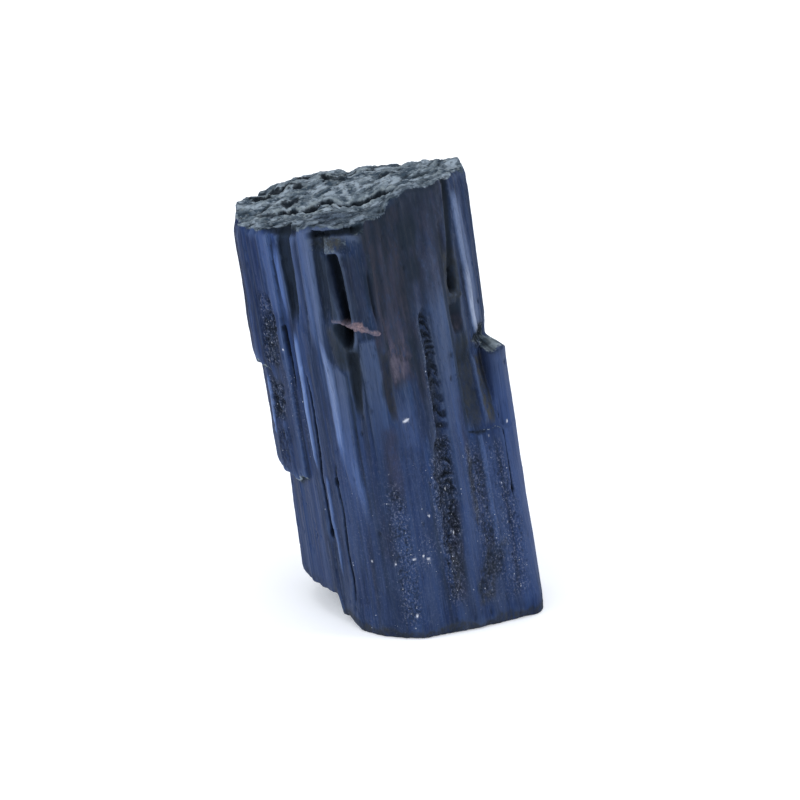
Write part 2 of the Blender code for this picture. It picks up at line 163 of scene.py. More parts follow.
def worley(x, y, z, seed=0):
    """Distances to the nearest and second nearest feature point, and the nearest cell's random number."""
    x, y, z = np.broadcast_arrays(x, y, z)
    ix, iy, iz = (np.floor(v).astype(np.int64) for v in (x, y, z))
    f1 = np.full(x.shape, 9.0)
    f2 = np.full(x.shape, 9.0)
    cell = np.zeros(x.shape)
    for dx in (-1, 0, 1):
        for dy in (-1, 0, 1):
            for dz in (-1, 0, 1):
                cx, cy, cz = ix + dx, iy + dy, iz + dz
                d = ((cx + _hash(cx, cy, cz, seed + 1) - x) ** 2
                     + (cy + _hash(cx, cy, cz, seed + 2) - y) ** 2
                     + (cz + _hash(cx, cy, cz, seed + 3) - z) ** 2)
                near = d < f1
                f2 = np.where(near, f1, np.minimum(f2, d))
                cell = np.where(near, _hash(cx, cy, cz, seed + 4), cell)
                f1 = np.where(near, d, f1)
    return np.sqrt(f1), np.sqrt(f2), cell


def smooth(x, lo=0.0, hi=1.0):
    f = np.clip((x - lo) / (hi - lo), 0.0, 1.0)
    return f * f * (3 - 2 * f)


def stria(ell, t, cells, run, seed, hold=0.25, warp=0.7, crisp=1.0):
    """Narrow facets along the prism: flats joined by slopes; levels hold for a while, then change."""
    x = ell / ROUND * cells
    x = x + warp * noise3(np.cos(ell / ROUND * 2 * np.pi) * cells * 0.055,
                          np.sin(ell / ROUND * 2 * np.pi) * cells * 0.055, t * 0.012, seed + 5)
    i = np.floor(x).astype(np.int64)
    f = x - i

    def level(k):
        k = np.mod(k, cells)
        y = t / run + 40 * _hash(k, k * 0 + 3, k * 0, seed)
        j = np.floor(y).astype(np.int64)
        g = smooth(y - j, 0.5 - hold / 2, 0.5 + hold / 2)
        return (_hash(k, j, k * 0, seed + 9) * (1 - g) + _hash(k, j + 1, k * 0, seed + 9) * g) * 2 - 1

    sharp = crisp * (0.8 + 0.8 * _hash(np.mod(i, cells), i * 0, i * 0 + 1, seed + 13))
    f = np.clip((f - 0.5) * np.maximum(sharp, 1.0) + 0.5, 0, 1)
    return level(i) * (1 - f) + level(i + 1) * f


def blur(a, sigma, axis_no, wrap):
    """Gaussian blur along one axis of a grid; sigma in samples."""
    n = max(1, int(3 * sigma))
    k = np.exp(-0.5 * (np.arange(-n, n + 1) / sigma) ** 2)
    k /= k.sum()
    pad = [(0, 0)] * a.ndim
    pad[axis_no] = (n, n)
    b = np.pad(a, pad, mode="wrap" if wrap else "edge")
    size = a.shape[axis_no]
    out = 0.0
    for o, w in enumerate(k):
        cut = [slice(None)] * a.ndim
        cut[axis_no] = slice(o, o + size)
        out = out + w * b[tuple(cut)]
    return out


# ------------------------------------------------------------ side of the prism
STEP_L = 0.055
STEP_T = 0.10
COLS = int(ROUND / STEP_L)
T_LO, T_HI = -2.5, 38.5
ROWS0 = int((T_HI - T_LO) / STEP_T)
ell = (np.arange(COLS) / COLS * ROUND)
tt = np.linspace(T_LO, T_HI, ROWS0)


def outline(ell, t):
    corner = np.empty((len(t), 20, 2))
    for i in range(19):
        for k in range(2):
            corner[:, i, k] = np.interp(t, SEC_Z, SEC_C[:, i, k])
    corner[:, 19] = corner[:, 0]
    s = np.interp(np.mod(ell, ROUND), ARC, np.arange(20.0))
    i = np.minimum(s.astype(int), 18)
    f = (s - i)[None, :, None]
    return corner[:, i] * (1 - f) + corner[:, i + 1] * f


P = outline(ell, tt)
E2, T2 = np.meshgrid(ell, tt)
CX = np.broadcast_to(np.interp(ell, ARC, np.append(MEAN[:, 0], MEAN[0, 0]))[None], E2.shape)
CY = np.broadcast_to(np.interp(ell, ARC, np.append(MEAN[:, 1], MEAN[0, 1]))[None], E2.shape)
rag1 = noise3(CX * 1.1, CY * 1.1, 3.0, 5)
rag2 = noise3(CX * 4.2, CY * 4.2, 3.0, 6)


def faces(rows):
    return np.stack([np.interp(ell, rows[:, 0], rows[:, k]) for k in (1, 2)], -1)


top_right = np.interp(E2, [24.7, 25.6, 26.6, 27.2, 28.4, 30.8], [22.40, 22.45, 22.45, 22.0, 21.1, 20.5])
top_right = top_right + 0.10 * rag1 + 0.12 * rag2
up1 = 1 - smooth(T2 - top_right, -0.30, 0.0)
V1 = faces(RIGHT_BLOCK)[None] - P
side_in = smooth(E2, 24.72, 24.9) * (1 - smooth(E2, 30.2, 30.7))
V1 = V1 * side_in[..., None]
top_front = np.interp(E2, [20.5, 21.3, 24.3, 25.6], [16.3, 16.25, 16.0, 15.6]) + 0.08 * rag1 + 0.05 * rag2
step2 = smooth(T2 - top_front, -0.10, 0.04)
up2 = 1 - step2 * (1 - 0.80 * (1 - smooth(T2, 16.2, 21.6)) * (1 - smooth(E2, 24.9, 25.3)))
fl = np.clip(tt / 16.5, 0, 1)[:, None, None]
V2 = ((faces(FRONT_BLOCK_HI)[None] - P) * (smooth(E2, 21.05, 21.35) * (1 - smooth(E2, 30.2, 30.7)))[..., None] * fl
      + (faces(FRONT_BLOCK_LO)[None] - P) * (smooth(E2, 16.4, 17.6) * (1 - smooth(E2, 30.2, 30.7)))[..., None] * (1 - fl))
block1 = up1[..., None] * V1
block = block1 + up2[..., None] * (V2 - block1)
ledge1 = 4 * up1 * (1 - up1) * np.clip(np.linalg.norm(V1, axis=2) * 2.5, 0, 1)
ledge2 = 0.6 * 4 * step2 * (1 - step2) * np.clip(np.linalg.norm(V2 - block1, axis=2) * 2.5, 0, 1)
P = P + block
P = blur(P, 0.13 / STEP_L, 1, True)
tangent = np.roll(P, -1, 1) - np.roll(P, 1, 1)
tangent = blur(tangent, 0.8 / STEP_L, 1, True)
tangent /= np.linalg.norm(tangent, axis=2, keepdims=True)
N = np.stack([-tangent[..., 1], tangent[..., 0]], -1)
# the outline runs left, front, right, back, so this normal points out

grain = noise3(CX * 0.5, CY * 0.5, T2 * 0.06, 91)          # where the striations are bolder
bold = 0.50 + 0.50 * np.maximum(smooth(T2, 12.0, 24.0), smooth(E2, 27.0, 31.0))
D = (0.120 * bold * stria(E2, T2, 36, 22.0, 11, 0.22, 0.5, 1.9)
     + 0.070 * bold * stria(E2, T2, 84, 13.0, 23, 0.05, 0.7, 1.5) * (1 + 0.5 * grain)
     + 0.034 * bold * stria(E2, T2, 190, 8.0, 37, 0.04, 0.7, 1.2) * (1 + 0.6 * grain)
     + 0.013 * stria(E2, T2, 400, 5.0, 53, 0.1))

D = D * (1 - 0.75 * np.clip(ledge1 + ledge2, 0, 1)) + 0.10 * ledge1 * noise3(E2 * 2.4, T2 * 6.0, 0.0, 57)
tone = (0.55 * stria(E2, T2, 84, 13.0, 24, 0.05, 0.7, 3.5) + 0.40 * stria(E2, T2, 190, 8.0, 38, 0.05, 0.7, 2.5)
        + 0.45 * stria(E2, T2, 36, 22.0, 12, 0.10, 0.5, 4.0)) * (0.45 + 0.55 * bold)
frac = np.zeros_like(D)            # granular broken surface
recess_shade = np.zeros_like(D)            # painted shade in furrows, cracks, pits, hollows and undercuts
stain = np.zeros_like(D)           # pinkish brown iron stain
olive = np.zeros_like(D)           # greenish brown crust
speck = np.zeros_like(D)           # density of pale specks
streak_highlight = np.zeros_like(D)           # painted highlight along bright strips
glint = np.zeros_like(D)           # painted glints on small bright flakes
deep = np.zeros_like(D)            # facets turned away, near black
light = np.zeros_like(D)           # facets that catch the light
frac = np.maximum(frac, np.clip(1.6 * ledge1, 0, 1))
frac = np.maximum(frac, np.clip(1.2 * ledge2, 0, 0.8))


def exit_distance(P, N, poly):
    """How far each point of the prism goes along its normal to leave an outline it is inside of."""
    best = np.full(P.shape[:2], -9.0)
    hits = np.zeros(P.shape[:2], int)
    pts = np.array(poly)
    for a, b in zip(pts, np.roll(pts, -1, 0)):
        e = b - a
        ap = a - P
        den = N[..., 0] * e[1] - N[..., 1] * e[0]
        den = np.where(abs(den) < 1e-9, 1e-9, den)
        d = (ap[..., 0] * e[1] - ap[..., 1] * e[0]) / den
        u = (ap[..., 0] * N[..., 1] - ap[..., 1] * N[..., 0]) / den
        ok = (u >= 0) & (u < 1) & (d > 0)
        hits += ok
        best = np.where(ok & (d > best), d, best)
    return np.where(hits % 2 == 1, best, -9.0)


fine = (0.05 * stria(E2, T2, 110, 14.0, 63, 0.06, 0.7, 1.5) + 0.035 * stria(E2, T2, 230, 8.0, 71, 0.05)
        + 0.013 * stria(E2, T2, 400, 5.0, 53, 0.1))
for no, lay in enumerate(LAYERS):
    reach = exit_distance(P, N, lay["outline"])
    inside = reach > 0
    rag = lay["ragged"] * (0.7 * rag1 + 0.5 * rag2)
    lo = smooth(T2 - (lay["z0"] + rag), 0.0, lay["soft"])
    hi = 1 - smooth(T2 - (lay["z1"] + rag), -lay["soft"], 0.0)
    on = np.where(inside, lo * hi, 0.0)
    raised = np.maximum(D, reach + fine + lay.get("more", 0.0) * smooth(T2, lay["z0"], lay["z0"] + 1) * (1 - 1.6 * smooth(T2, 26.0, 30.0)))
    lift = np.where(inside, raised - D, 0.0)
    D = D + on * lift
    edge = np.where(inside & (lift > 0.12), 4 * (lo * hi) * (1 - lo * hi), 0.0)
    near = np.where(inside, np.exp(-((T2 - (lay["z1"] + rag)) / 0.5) ** 2)
                    + np.exp(-((T2 - (lay["z0"] + rag)) / 0.5) ** 2), 0.0) * np.clip(lift * 3, 0, 1)
    frac = np.maximum(frac, np.clip(edge + 0.55 * near, 0, 1))


def band(path, soft=0.0):
    """Signed offset from the middle of a strip along the prism: rows of (t, ell, half width). Returns the offset, the
    half width and whether t lies between the strip's ends.
    """
    rows = np.array(sorted(path))
    c = np.interp(T2, rows[:, 0], rows[:, 1])
    w = np.interp(T2, rows[:, 0], rows[:, 2])
    d = np.mod(E2 - c + ROUND / 2, ROUND) - ROUND / 2
    inside = (T2 >= rows[0, 0] - soft) & (T2 <= rows[-1, 0] + soft)
    return d, w, inside


def ends(lo, hi, soft_lo, soft_hi):
    return smooth(T2, lo, lo + soft_lo) * (1 - smooth(T2, hi - soft_hi, hi))


WOB = 0.030 * noise3(CX * 0.3, CY * 0.3, T2 * 0.5, 101) + 0.022 * noise3(CX * 0.8, CY * 0.8, T2 * 2.6, 102)


def furrow(path, depth, shape="v", ends_soft=(1.2, 1.2), rough=0.25, darkness=1.0, seed=0):
    global D, recess_shade
    d, w, _ = band(path)
    rows = sorted(path)
    x = np.abs(d + WOB) / np.maximum(w, 0.02)
    e = ends(rows[0][0], rows[-1][0], *ends_soft)
    if shape == "v":
        prof = np.clip(1 - x, 0, 1)
    elif shape == "u":
        prof = np.clip(1 - x * x, 0, 1) ** 1.3
    else:
        prof = 1 - smooth(x, 0.78, 1.0)
    n = 1 + rough * fbm(E2 * 1.3, T2 * 1.1, E2 * 0 + seed, 3, 200 + seed)
    D = D - depth * prof * e * n
    # painted shade along the furrow
    recess_shade = np.maximum(recess_shade, darkness * np.clip(prof * 1.5, 0, 1) * e)


def wash(target, path, ends_soft=(1.0, 1.0), edge=0.35, amount=1.0, breakup=0.0, seed=0):
    """Paint a mask over a strip."""
    d, w, _ = band(path)
    rows = sorted(path)
    x = np.abs(d + WOB) / np.maximum(w, 0.02)
    m = (1 - smooth(x, 1 - edge, 1 + edge * 0.3)) * ends(rows[0][0], rows[-1][0], *ends_soft)
    if breakup:
        m = m * np.clip(1 - breakup + breakup * 1.6 * (0.5 + 0.5 * fbm(E2 * 1.2, T2 * 0.7, E2 * 0 + seed, 3, 300 + seed)), 0, 1)
    return np.maximum(target, amount * m)


# deep furrow under the front rim, with the hole it ends in
furrow([(26.9, 11.5, 0.45), (29.0, 11.55, 0.55), (30.8, 11.42, 0.66), (32.5, 11.25, 0.72), (34.6, 11.0, 0.66)], 1.15, "u", (0.8, 0.4), 0.2, 1.0, 1)
furrow([(26.3, 11.5, 0.20), (27.2, 11.45, 0.60), (28.2, 11.35, 1.0), (28.8, 11.3, 1.05)], 0.80, "u", (0.7, 0.3), 0.4, 1.0, 2)
# dark troughs either side of the blue band
furrow([(27.6, 6.6, 0.35), (29.3, 6.75, 0.45), (33.0, 6.85, 0.58), (37.5, 6.9, 0.66)], 0.34, "box", (2.0, 0.2), 0.3, 0.55, 3)
furrow([(28.0, 10.0, 0.40), (31.5, 10.0, 0.50), (36.5, 10.1, 0.45)], 0.22, "box", (2.0, 0.2), 0.3, 0.30, 31)
furrow([(28.0, 14.1, 0.10), (30.7, 14.0, 0.20), (33.4, 14.0, 0.12)], 0.22, "v", (1.6, 1.6), 0.3, 0.6, 32)
# hair cracks down the left side
furrow([(22.2, 5.2, 0.09), (24.5, 5.25, 0.13), (25.2, 5.25, 0.18), (27.8, 5.3, 0.17)], 0.50, "u", (0.8, 0.2), 0.3, 1.0, 6)
furrow([(9.3, 6.15, 0.13), (10.1, 6.2, 0.12), (13.1, 6.2, 0.14), (14.8, 6.2, 0.19), (16.8, 6.5, 0.19), (18.6, 6.62, 0.17), (20.6, 6.8, 0.15), (22.2, 6.8, 0.13), (23.9, 6.7, 0.10)], 0.36, "u", (0.4, 0.8), 0.3, 1.0, 4)
furrow([(9.1, 6.25, 0.16), (9.7, 6.2, 0.26), (10.5, 6.2, 0.16)], 0.4, "u", (0.3, 0.3), 0.3, 1.0, 5)
# dotted crack
furrow([(3.4, 7.8, 0.09), (6.2, 7.9, 0.13), (8.1, 7.8, 0.12), (9.7, 7.9, 0.15), (11.8, 8.1, 0.13), (14.5, 7.95, 0.13), (16.4, 8.15, 0.09)], 0.26, "v", (1.0, 0.8), 1.2, 0.95, 7)
furrow([(14.1, 7.9, 0.14), (14.5, 7.95, 0.27), (15.1, 7.95, 0.16)], 0.32, "u", (0.3, 0.3), 0.3, 1.0, 8)
# brown trough below the hole, and its olive neighbour
furrow([(20.4, 11.4, 0.30), (22.3, 11.5, 0.50), (24.0, 11.6, 0.62), (26.6, 11.75, 0.66)], 0.32, "u", (1.8, 0.6), 0.3, 0.86, 9)
furrow([(19.6, 14.2, 0.22), (21.8, 14.1, 0.38), (26.2, 14.3, 0.40)], 0.20, "u", (1.6, 1.2), 0.3, 0.35, 10)
# trough beside the bright right edge, its black hole, the crumb under it and the pit below
furrow([(28.8, 22.1, 0.50), (31.6, 22.6, 0.55), (34.0, 22.8, 0.55), (36.6, 23.1, 0.50)], 0.30, "u", (1.2, 0.2), 0.6, 0.86, 11)
furrow([(27.6, 22.05, 0.34), (28.5, 22.1, 0.54), (29.8, 22.2, 0.34)], 0.75, "u", (0.3, 0.6), 0.9, 1.0, 12)
furrow([(24.1, 22.0, 0.50), (25.5, 21.9, 0.65), (27.0, 21.8, 0.60)], 0.26, "u", (1.0, 0.4), 0.3, 0.55, 33)
# beaded crack down the right block
furrow([(9.6, 24.7, 0.06), (11.0, 24.8, 0.09), (13.5, 24.9, 0.08), (15.0, 25.0, 0.09), (16.6, 25.05, 0.07)], 0.20, "v", (0.6, 0.4), 1.0, 1.0, 13)
furrow([(10.1, 24.7, 0.08), (10.5, 24.75, 0.20), (11.0, 24.75, 0.08)], 0.22, "u", (0.2, 0.2), 0.3, 1.0, 14)
furrow([(14.9, 25.0, 0.08), (15.4, 25.0, 0.13), (15.9, 25.0, 0.08)], 0.2, "u", (0.2, 0.2), 0.3, 1.0, 34)
furrow([(16.2, 25.05, 0.08), (16.6, 25.05, 0.16), (17.1, 25.05, 0.08)], 0.2, "u", (0.2, 0.2), 0.3, 1.0, 37)
# recess left of the right block, shallower towards its foot, where a hair crack crosses
furrow([(16.0, 22.2, 0.95), (20.0, 22.2, 1.0), (23.6, 22.1, 1.05)], 0.26, "box", (2.5, 1.5), 0.3, 0.20, 15)
hair = (np.exp(-((T2 - (16.30 - 0.12 * (E2 - 21.3) + 0.08 * noise3(E2 * 2.5, 0.0, 0.0, 166))) / 0.075) ** 2)
        * smooth(E2, 21.1, 21.3) * (1 - smooth(E2, 22.9, 23.3)))
D = D - 0.14 * hair
# painted shade in the hair crack
recess_shade = np.maximum(recess_shade, hair)
# olive trough low on the right
furrow([(1.2, 19.6, 0.45), (3.3, 19.8, 0.60), (5.3, 21.1, 0.80), (7.4, 22.2, 0.50)], 0.10, "u", (0.8, 1.0), 1.2, 0.15, 17)
# back and sides
furrow([(6.0, 45.2, 0.40), (14.0, 45.3, 0.55), (24.0, 45.2, 0.35)], 0.42, "v", (2, 2), 0.3, 0.9, 18)
furrow([(9.0, 37.6, 0.32), (20.0, 37.5, 0.45), (33.0, 37.4, 0.30)], 0.45, "u", (2, 3), 0.3, 0.9, 19)
furrow([(3.0, 34.6, 0.50), (10.0, 34.4, 0.62), (19.0, 34.3, 0.40)], 0.45, "v", (2, 2), 0.3, 0.9, 20)
furrow([(18.0, 31.2, 0.14), (26.0, 31.2, 0.18), (35.0, 31.3, 0.14)], 0.30, "v", (2, 2), 0.5, 0.9, 21)
furrow([(2.0, 48.9, 0.16), (12.0, 48.8, 0.2), (21.0, 48.9, 0.12)], 0.30, "v", (1, 2), 0.5, 0.9, 22)
furrow([(21.0, 41.6, 0.4), (29.0, 41.7, 0.6), (37.5, 41.8, 0.5)], 0.30, "u", (2, 0.2), 0.3, 0.6, 23)
furrow([(4.0, 28.4, 0.10), (9.0, 28.3, 0.14), (13.0, 28.4, 0.10)], 0.22, "v", (1, 1), 0.8, 0.9, 35)


def pits(path, depth, cell, seed, ends_soft=(1.5, 1.5), crack=0.0, edge=0.35, density=1.0, specks=0.0):
    """Strip of small pits and cracks."""
    global D, recess_shade, speck
    d, w, _ = band(path)
    rows = sorted(path)
    x = np.abs(d + WOB * 1.5) / np.maximum(w, 0.02)
    zone = (1 - smooth(x, 1 - edge, 1 + edge)) * ends(rows[0][0], rows[-1][0], *ends_soft)
    live = zone > 0.01
    f1 = np.full(E2.shape, 1.0)
    f2 = np.full(E2.shape, 1.0)
    ce = np.zeros(E2.shape)
    jx = 0.25 * noise3(E2[live] * 3, T2[live] * 3, 0.0, seed + 70)
    a, b, c = worley(E2[live] / cell + jx, T2[live] / (cell * 1.15) - jx, 0.5 + 0 * E2[live], seed)
    f1[live], f2[live], ce[live] = a, b, c
    pit = np.clip(1 - f1 / 0.62, 0, 1) * smooth(ce, 1 - density, 1 - density + 0.1) * zone
    D = D - depth * pit ** 0.7 * (0.4 + 0.6 * ce)
    # painted shade in the pits, and below it in the cracks
    recess_shade = np.maximum(recess_shade, np.clip(pit * 1.3, 0, 1) * (0.35 + 0.65 * ce))
    if crack:
        line = (1 - smooth(f2 - f1, 0.0, 0.16)) * zone
        gap = smooth(noise3(E2 * 1.7, T2 * 1.2, 0.0, seed + 33), -0.2, 0.25)
        D = D - crack * line * gap
        recess_shade = np.maximum(recess_shade, line * gap)
    if specks:
        speck = np.maximum(speck, specks * zone)


def scallops(path, depth, pitch, seed, ends_soft=(1.0, 1.0), lean=0.55):
    """Stack of small curved bites up a furrow, each casting its own dark crescent."""
    global D, recess_shade
    d, w, _ = band(path)
    rows = sorted(path)
    x = (d + 2.0 * WOB) / np.maximum(w, 0.02)
    zone = (1 - smooth(np.abs(x), 0.62, 1.0)) * ends(rows[0][0], rows[-1][0], *ends_soft)
    ph = (T2 / pitch + 0.8 * noise3(T2 * 0.55, 0.0, 0.0, seed) + lean * x * x * (1 + 0.8 * noise3(T2 * 0.7, 0.0, 4.0, seed))
          + 0.55 * noise3(E2 * 1.5, T2 * 1.1, 0.0, seed + 1) + 0.18 * noise3(E2 * 4.5, T2 * 4.5, 0.0, seed + 3))
    k = np.floor(ph)
    f = ph - k
    some = _hash(k.astype(np.int64), k.astype(np.int64) * 0, k.astype(np.int64) * 0, seed + 2)
    bite = np.clip(1 - f / (0.35 + 0.45 * some), 0, 1) * (0.25 + 0.75 * some)
    D = D - depth * (bite ** 0.8) * zone
    recess_shade = np.maximum(recess_shade, zone * np.clip(bite * 2.2 - 0.25, 0, 1) * smooth(x + 0.5 * noise3(E2 * 2, T2 * 1.6, 0.0, seed + 4), -0.9, 0.3))


# the scalloped, pitted furrow right of the middle
furrow([(6.8, 17.2, 0.45), (9.0, 17.6, 0.95), (12.0, 17.7, 1.05), (14.5, 17.8, 1.00), (16.2, 18.0, 0.85),
        (17.8, 18.4, 0.55), (22.0, 18.5, 0.52), (28.0, 18.4, 0.52)], 0.30, "u", (1.0, 1.2), 0.5, 0.15, 24)
scallops([(17.4, 18.45, 0.52), (19.0, 18.45, 0.50), (22.0, 18.55, 0.50), (25.0, 18.6, 0.46), (28.2, 18.35, 0.46)], 0.34, 0.92, 421, (0.5, 1.5))
pits([(17.4, 18.6, 0.45), (22.0, 18.65, 0.45), (27.6, 18.6, 0.40)], 0.30, 0.62, 451, (0.5, 1.0), 0.0, 0.3, 0.50, 0.25)
scallops([(8.6, 17.8, 0.8), (11.0, 17.9, 0.95), (14.0, 18.1, 0.85), (16.8, 18.3, 0.62)], 0.26, 0.80, 431, (0.6, 0.6), 0.8)
pits([(7.2, 17.2, 0.5), (9.0, 17.6, 1.0), (12.5, 17.7, 1.05), (15.0, 17.8, 0.95), (17.4, 18.3, 0.6)], 0.20, 0.42, 401, (0.8, 0.6), 0.18, 0.25, 0.62, 1.0)
# granular strip down the left side, left by the layers that broke away
pits([(23.6, 3.2, 0.75), (26.0, 3.6, 0.85), (28.2, 3.8, 0.8), (31.0, 3.4, 0.4)], 0.20, 0.34, 403, (0.8, 2.0), 0.20, 0.25, 0.9, 0.9)
pits([(18.6, 2.5, 0.7), (20.5, 2.8, 0.9), (22.9, 3.1, 0.9)], 0.30, 0.46, 413, (0.8, 0.8), 0.20, 0.30, 0.9, 0.9)
pits([(14.0, 1.8, 1.0), (18.8, 2.6, 1.3)], 0.12, 0.36, 414, (1.0, 1.0), 0.08, 0.45, 0.75, 0.25)
furrow([(19.2, 2.5, 0.4), (20.2, 2.5, 0.6), (21.2, 2.5, 0.4)], 0.30, "u", (0.6, 0.6), 0.5, 0.9, 25)
# rough speckled strips on the lower front
pits([(1.8, 13.0, 0.7), (8.0, 13.1, 0.85), (15.6, 13.1, 0.6)], 0.05, 0.26, 404, (1, 2), 0.02, 0.6, 0.30, 0.85)
pits([(3.0, 21.6, 1.0), (9.0, 21.2, 1.0), (14.8, 21.1, 0.9)], 0.06, 0.26, 405, (1, 1), 0.03, 0.6, 0.45, 0.8)
pits([(1.6, 20.0, 0.7), (3.4, 20.4, 0.9), (5.2, 21.3, 1.3), (6.8, 22.4, 1.2)], 0.12, 0.46, 415, (0.8, 0.8), 0.06, 0.5, 0.70, 0.5)
pits([(1.0, 23.4, 1.1), (9.0, 24.0, 1.1), (14.0, 24.0, 0.8)], 0.05, 0.26, 406, (1, 2), 0.0, 0.6, 0.28, 0.70)
pits([(2.4, 17.2, 0.7), (5.0, 17.2, 0.8), (8.6, 17.5, 0.9)], 0.10, 0.28, 408, (1, 1), 0.05, 0.5, 0.6, 0.9)
# back
pits([(4.0, 42.4, 0.9), (14.0, 42.6, 1.1), (24.0, 42.4, 0.7)], 0.16, 0.40, 409, (2, 2), 0.12, 0.35, 0.8, 0.6)
scallops([(6.0, 45.3, 0.5), (14.0, 45.4, 0.6), (23.0, 45.3, 0.4)], 0.25, 0.9, 441, (1.5, 1.5))
pits([(12.0, 29.9, 0.6), (24.0, 29.8, 0.8), (33.0, 29.9, 0.6)], 0.14, 0.36, 410, (2, 2), 0.10, 0.4, 0.8, 0.5)
pits([(2.0, 36.3, 0.6), (8.0, 36.2, 0.9), (13.0, 36.2, 0.6)], 0.10, 0.30, 411, (1, 2), 0.06, 0.4, 0.7, 0.8)
pits([(15.0, 47.2, 0.6), (26.0, 47.1, 0.7), (33.0, 47.2, 0.5)], 0.12, 0.34, 412, (2, 2), 0.08, 0.4, 0.7, 0.4)

# raised ridges, and strips with a painted highlight
def ridge(path, height, ends_soft=(1.5, 1.5), bright=0.0, flat=0.4):
    global D, streak_highlight
    d, w, _ = band(path)
    rows = sorted(path)
    x = np.abs(d + WOB) / np.maximum(w, 0.02)
    e = ends(rows[0][0], rows[-1][0], *ends_soft)
    D = D + height * (1 - smooth(x, flat, 1.0)) * e
    # painted highlight along the strip
    streak_highlight = np.maximum(streak_highlight, bright * (1 - smooth(x, 0.5, 1.1)) * e)


ridge([(15.0, 5.85, 0.16), (18.1, 5.88, 0.26), (20.6, 5.98, 0.32), (23.8, 6.15, 0.34), (27.7, 6.35, 0.26)], 0.15, (1.6, 1.6), 1.35)
ridge([(5.6, 6.65, 0.10), (8.7, 6.75, 0.15), (10.6, 6.6, 0.18), (12.1, 6.7, 0.18), (15.0, 6.8, 0.12)], 0.12, (1.5, 1), 1.25)
ridge([(16.6, 1.45, 0.14), (20.1, 1.75, 0.24), (22.8, 2.0, 0.16)], 0.08, (1, 0.6), 1.3)
ridge([(12.8, 10.0, 0.62), (16.0, 9.9, 0.82), (19.2, 9.95, 0.82), (21.5, 9.95, 0.85), (24.2, 10.0, 0.98), (25.6, 9.1, 0.30)], 0.13, (3, 1.2), 0.26, 0.7)
ridge([(15.0, 9.1, 0.22), (19.1, 9.15, 0.42), (21.8, 9.2, 0.50), (24.4, 9.2, 0.48), (25.8, 8.95, 0.34), (28.6, 8.8, 0.12)], 0.04, (4.0, 3.2), 1.05, 0.3)
ridge([(10.4, 10.5, 0.20), (15.0, 10.3, 0.45), (19.0, 10.1, 0.40)], 0.03, (4, 3.5), 0.55, 0.4)
ridge([(26.0, 8.6, 0.70), (30.0, 8.8, 0.75), (36.5, 8.95, 0.75)], 0.10, (2, 0.5), 0.38, 0.8)
ridge([(22.9, 24.45, 0.26), (24.4, 24.25, 0.42), (27.4, 24.10, 0.42), (30.2, 24.0, 0.30)], 0.12, (0.5, 2.0), 1.70, 0.6)
ridge([(25.4, 24.18, 0.42), (27.4, 24.10, 0.42), (30.2, 24.0, 0.38), (32.7, 23.9, 0.42), (35.4, 23.8, 0.46)], 0.12, (2.0, 1.0), 1.05, 0.5)
ridge([(23.4, 25.2, 0.70), (27.4, 25.0, 0.85), (31.0, 24.75, 0.60), (34.6, 24.4, 0.40)], 0.02, (0.8, 1.5), 0.55, 0.9)
ridge([(27.6, 5.85, 0.16), (31.3, 5.8, 0.30), (33.0, 5.8, 0.34), (35.2, 5.75, 0.36)], 0.10, (3.0, 1.8), 0.85, 0.3)
ridge([(28.4, 4.9, 0.8), (32.0, 5.0, 1.0), (35.6, 5.1, 0.9)], 0.03, (1, 0.4), 0.22, 0.7)
ridge([(4.0, 19.6, 0.80), (18.0, 19.9, 0.90), (23.3, 20.1, 0.98), (32.0, 19.95, 0.95)], 0.10, (8, 1), 0.20, 0.7)
ridge([(15.0, 12.9, 0.55), (20.5, 13.0, 0.70), (25.5, 13.0, 0.78), (27.3, 13.1, 0.72)], 0.10, (6.0, 0.4), 0.22, 0.9)
crumb = np.exp(-((T2 - (27.55 - 0.30 * (E2 - 22.0) + 0.15 * noise3(E2 * 2, 0.0, 0.0, 167))) / 0.16) ** 2) * smooth(E2, 21.3, 21.7) * (1 - smooth(E2, 22.9, 23.3))
D = D + 0.16 * crumb
ridge([(16.4, 23.4, 0.30), (19.0, 23.4, 0.30), (22.4, 23.4, 0.30)], 0.08, (0.4, 1.2), 0.12, 0.5)
ridge([(5.0, 22.0, 0.30), (9.0, 22.1, 0.34), (13.0, 22.2, 0.36), (16.0, 22.25, 0.34)], 0.08, (4, 0.2), 0.42, 0.5)
ridge([(4.0, 32.5, 0.7), (18.0, 32.5, 0.8), (34.0, 32.6, 0.7)], 0.12, (3, 2), 0.5, 0.7)
ridge([(4.0, 39.6, 0.5), (18.0, 39.5, 0.6), (34.0, 39.6, 0.5)], 0.12, (3, 2), 0.5, 0.7)
ridge([(10.0, 47.9, 0.3), (20.0, 47.9, 0.4), (33.0, 47.9, 0.3)], 0.10, (3, 2), 0.7, 0.7)

# stains
stain = wash(stain, [(21.9, 15.2, 0.9), (24.5, 15.6, 1.45), (29.6, 15.8, 1.45)], (1.4, 4.2), 0.60, 1.0, 0.12, 1)
stain = wash(stain, [(22.0, 15.8, 1.6), (26.0, 15.7, 1.8), (30.0, 15.8, 2.1), (36.9, 16.0, 2.6)], (1.5, 0.3), 0.35, 0.78, 0.15, 2)
stain = wash(stain, [(28.3, 12.9, 0.7), (30.0, 12.9, 0.75), (34.5, 12.8, 0.9)], (0.8, 0.6), 0.3, 0.45, 0.3, 22)
stain = wash(stain, [(26.0, 17.8, 1.2), (30.0, 19.5, 2.9), (37.3, 20.6, 3.0)], (4, 0.4), 0.4, 0.62, 0.35, 3)
stain = wash(stain, [(24.2, 22.1, 0.6), (26.4, 22.0, 0.65)], (0.6, 0.5), 0.4, 0.95, 0.4, 4)
stain = wash(stain, [(19.6, 14.4, 0.25), (21.5, 14.2, 0.40), (27.6, 14.0, 0.45)], (0.8, 0.6), 0.4, 0.72, 0.3, 21)
stain = wash(stain, [(19.8, 17.3, 0.5), (24.0, 17.3, 0.55), (28.0, 17.4, 0.6)], (2.0, 1.0), 0.4, 0.60, 0.5, 23)
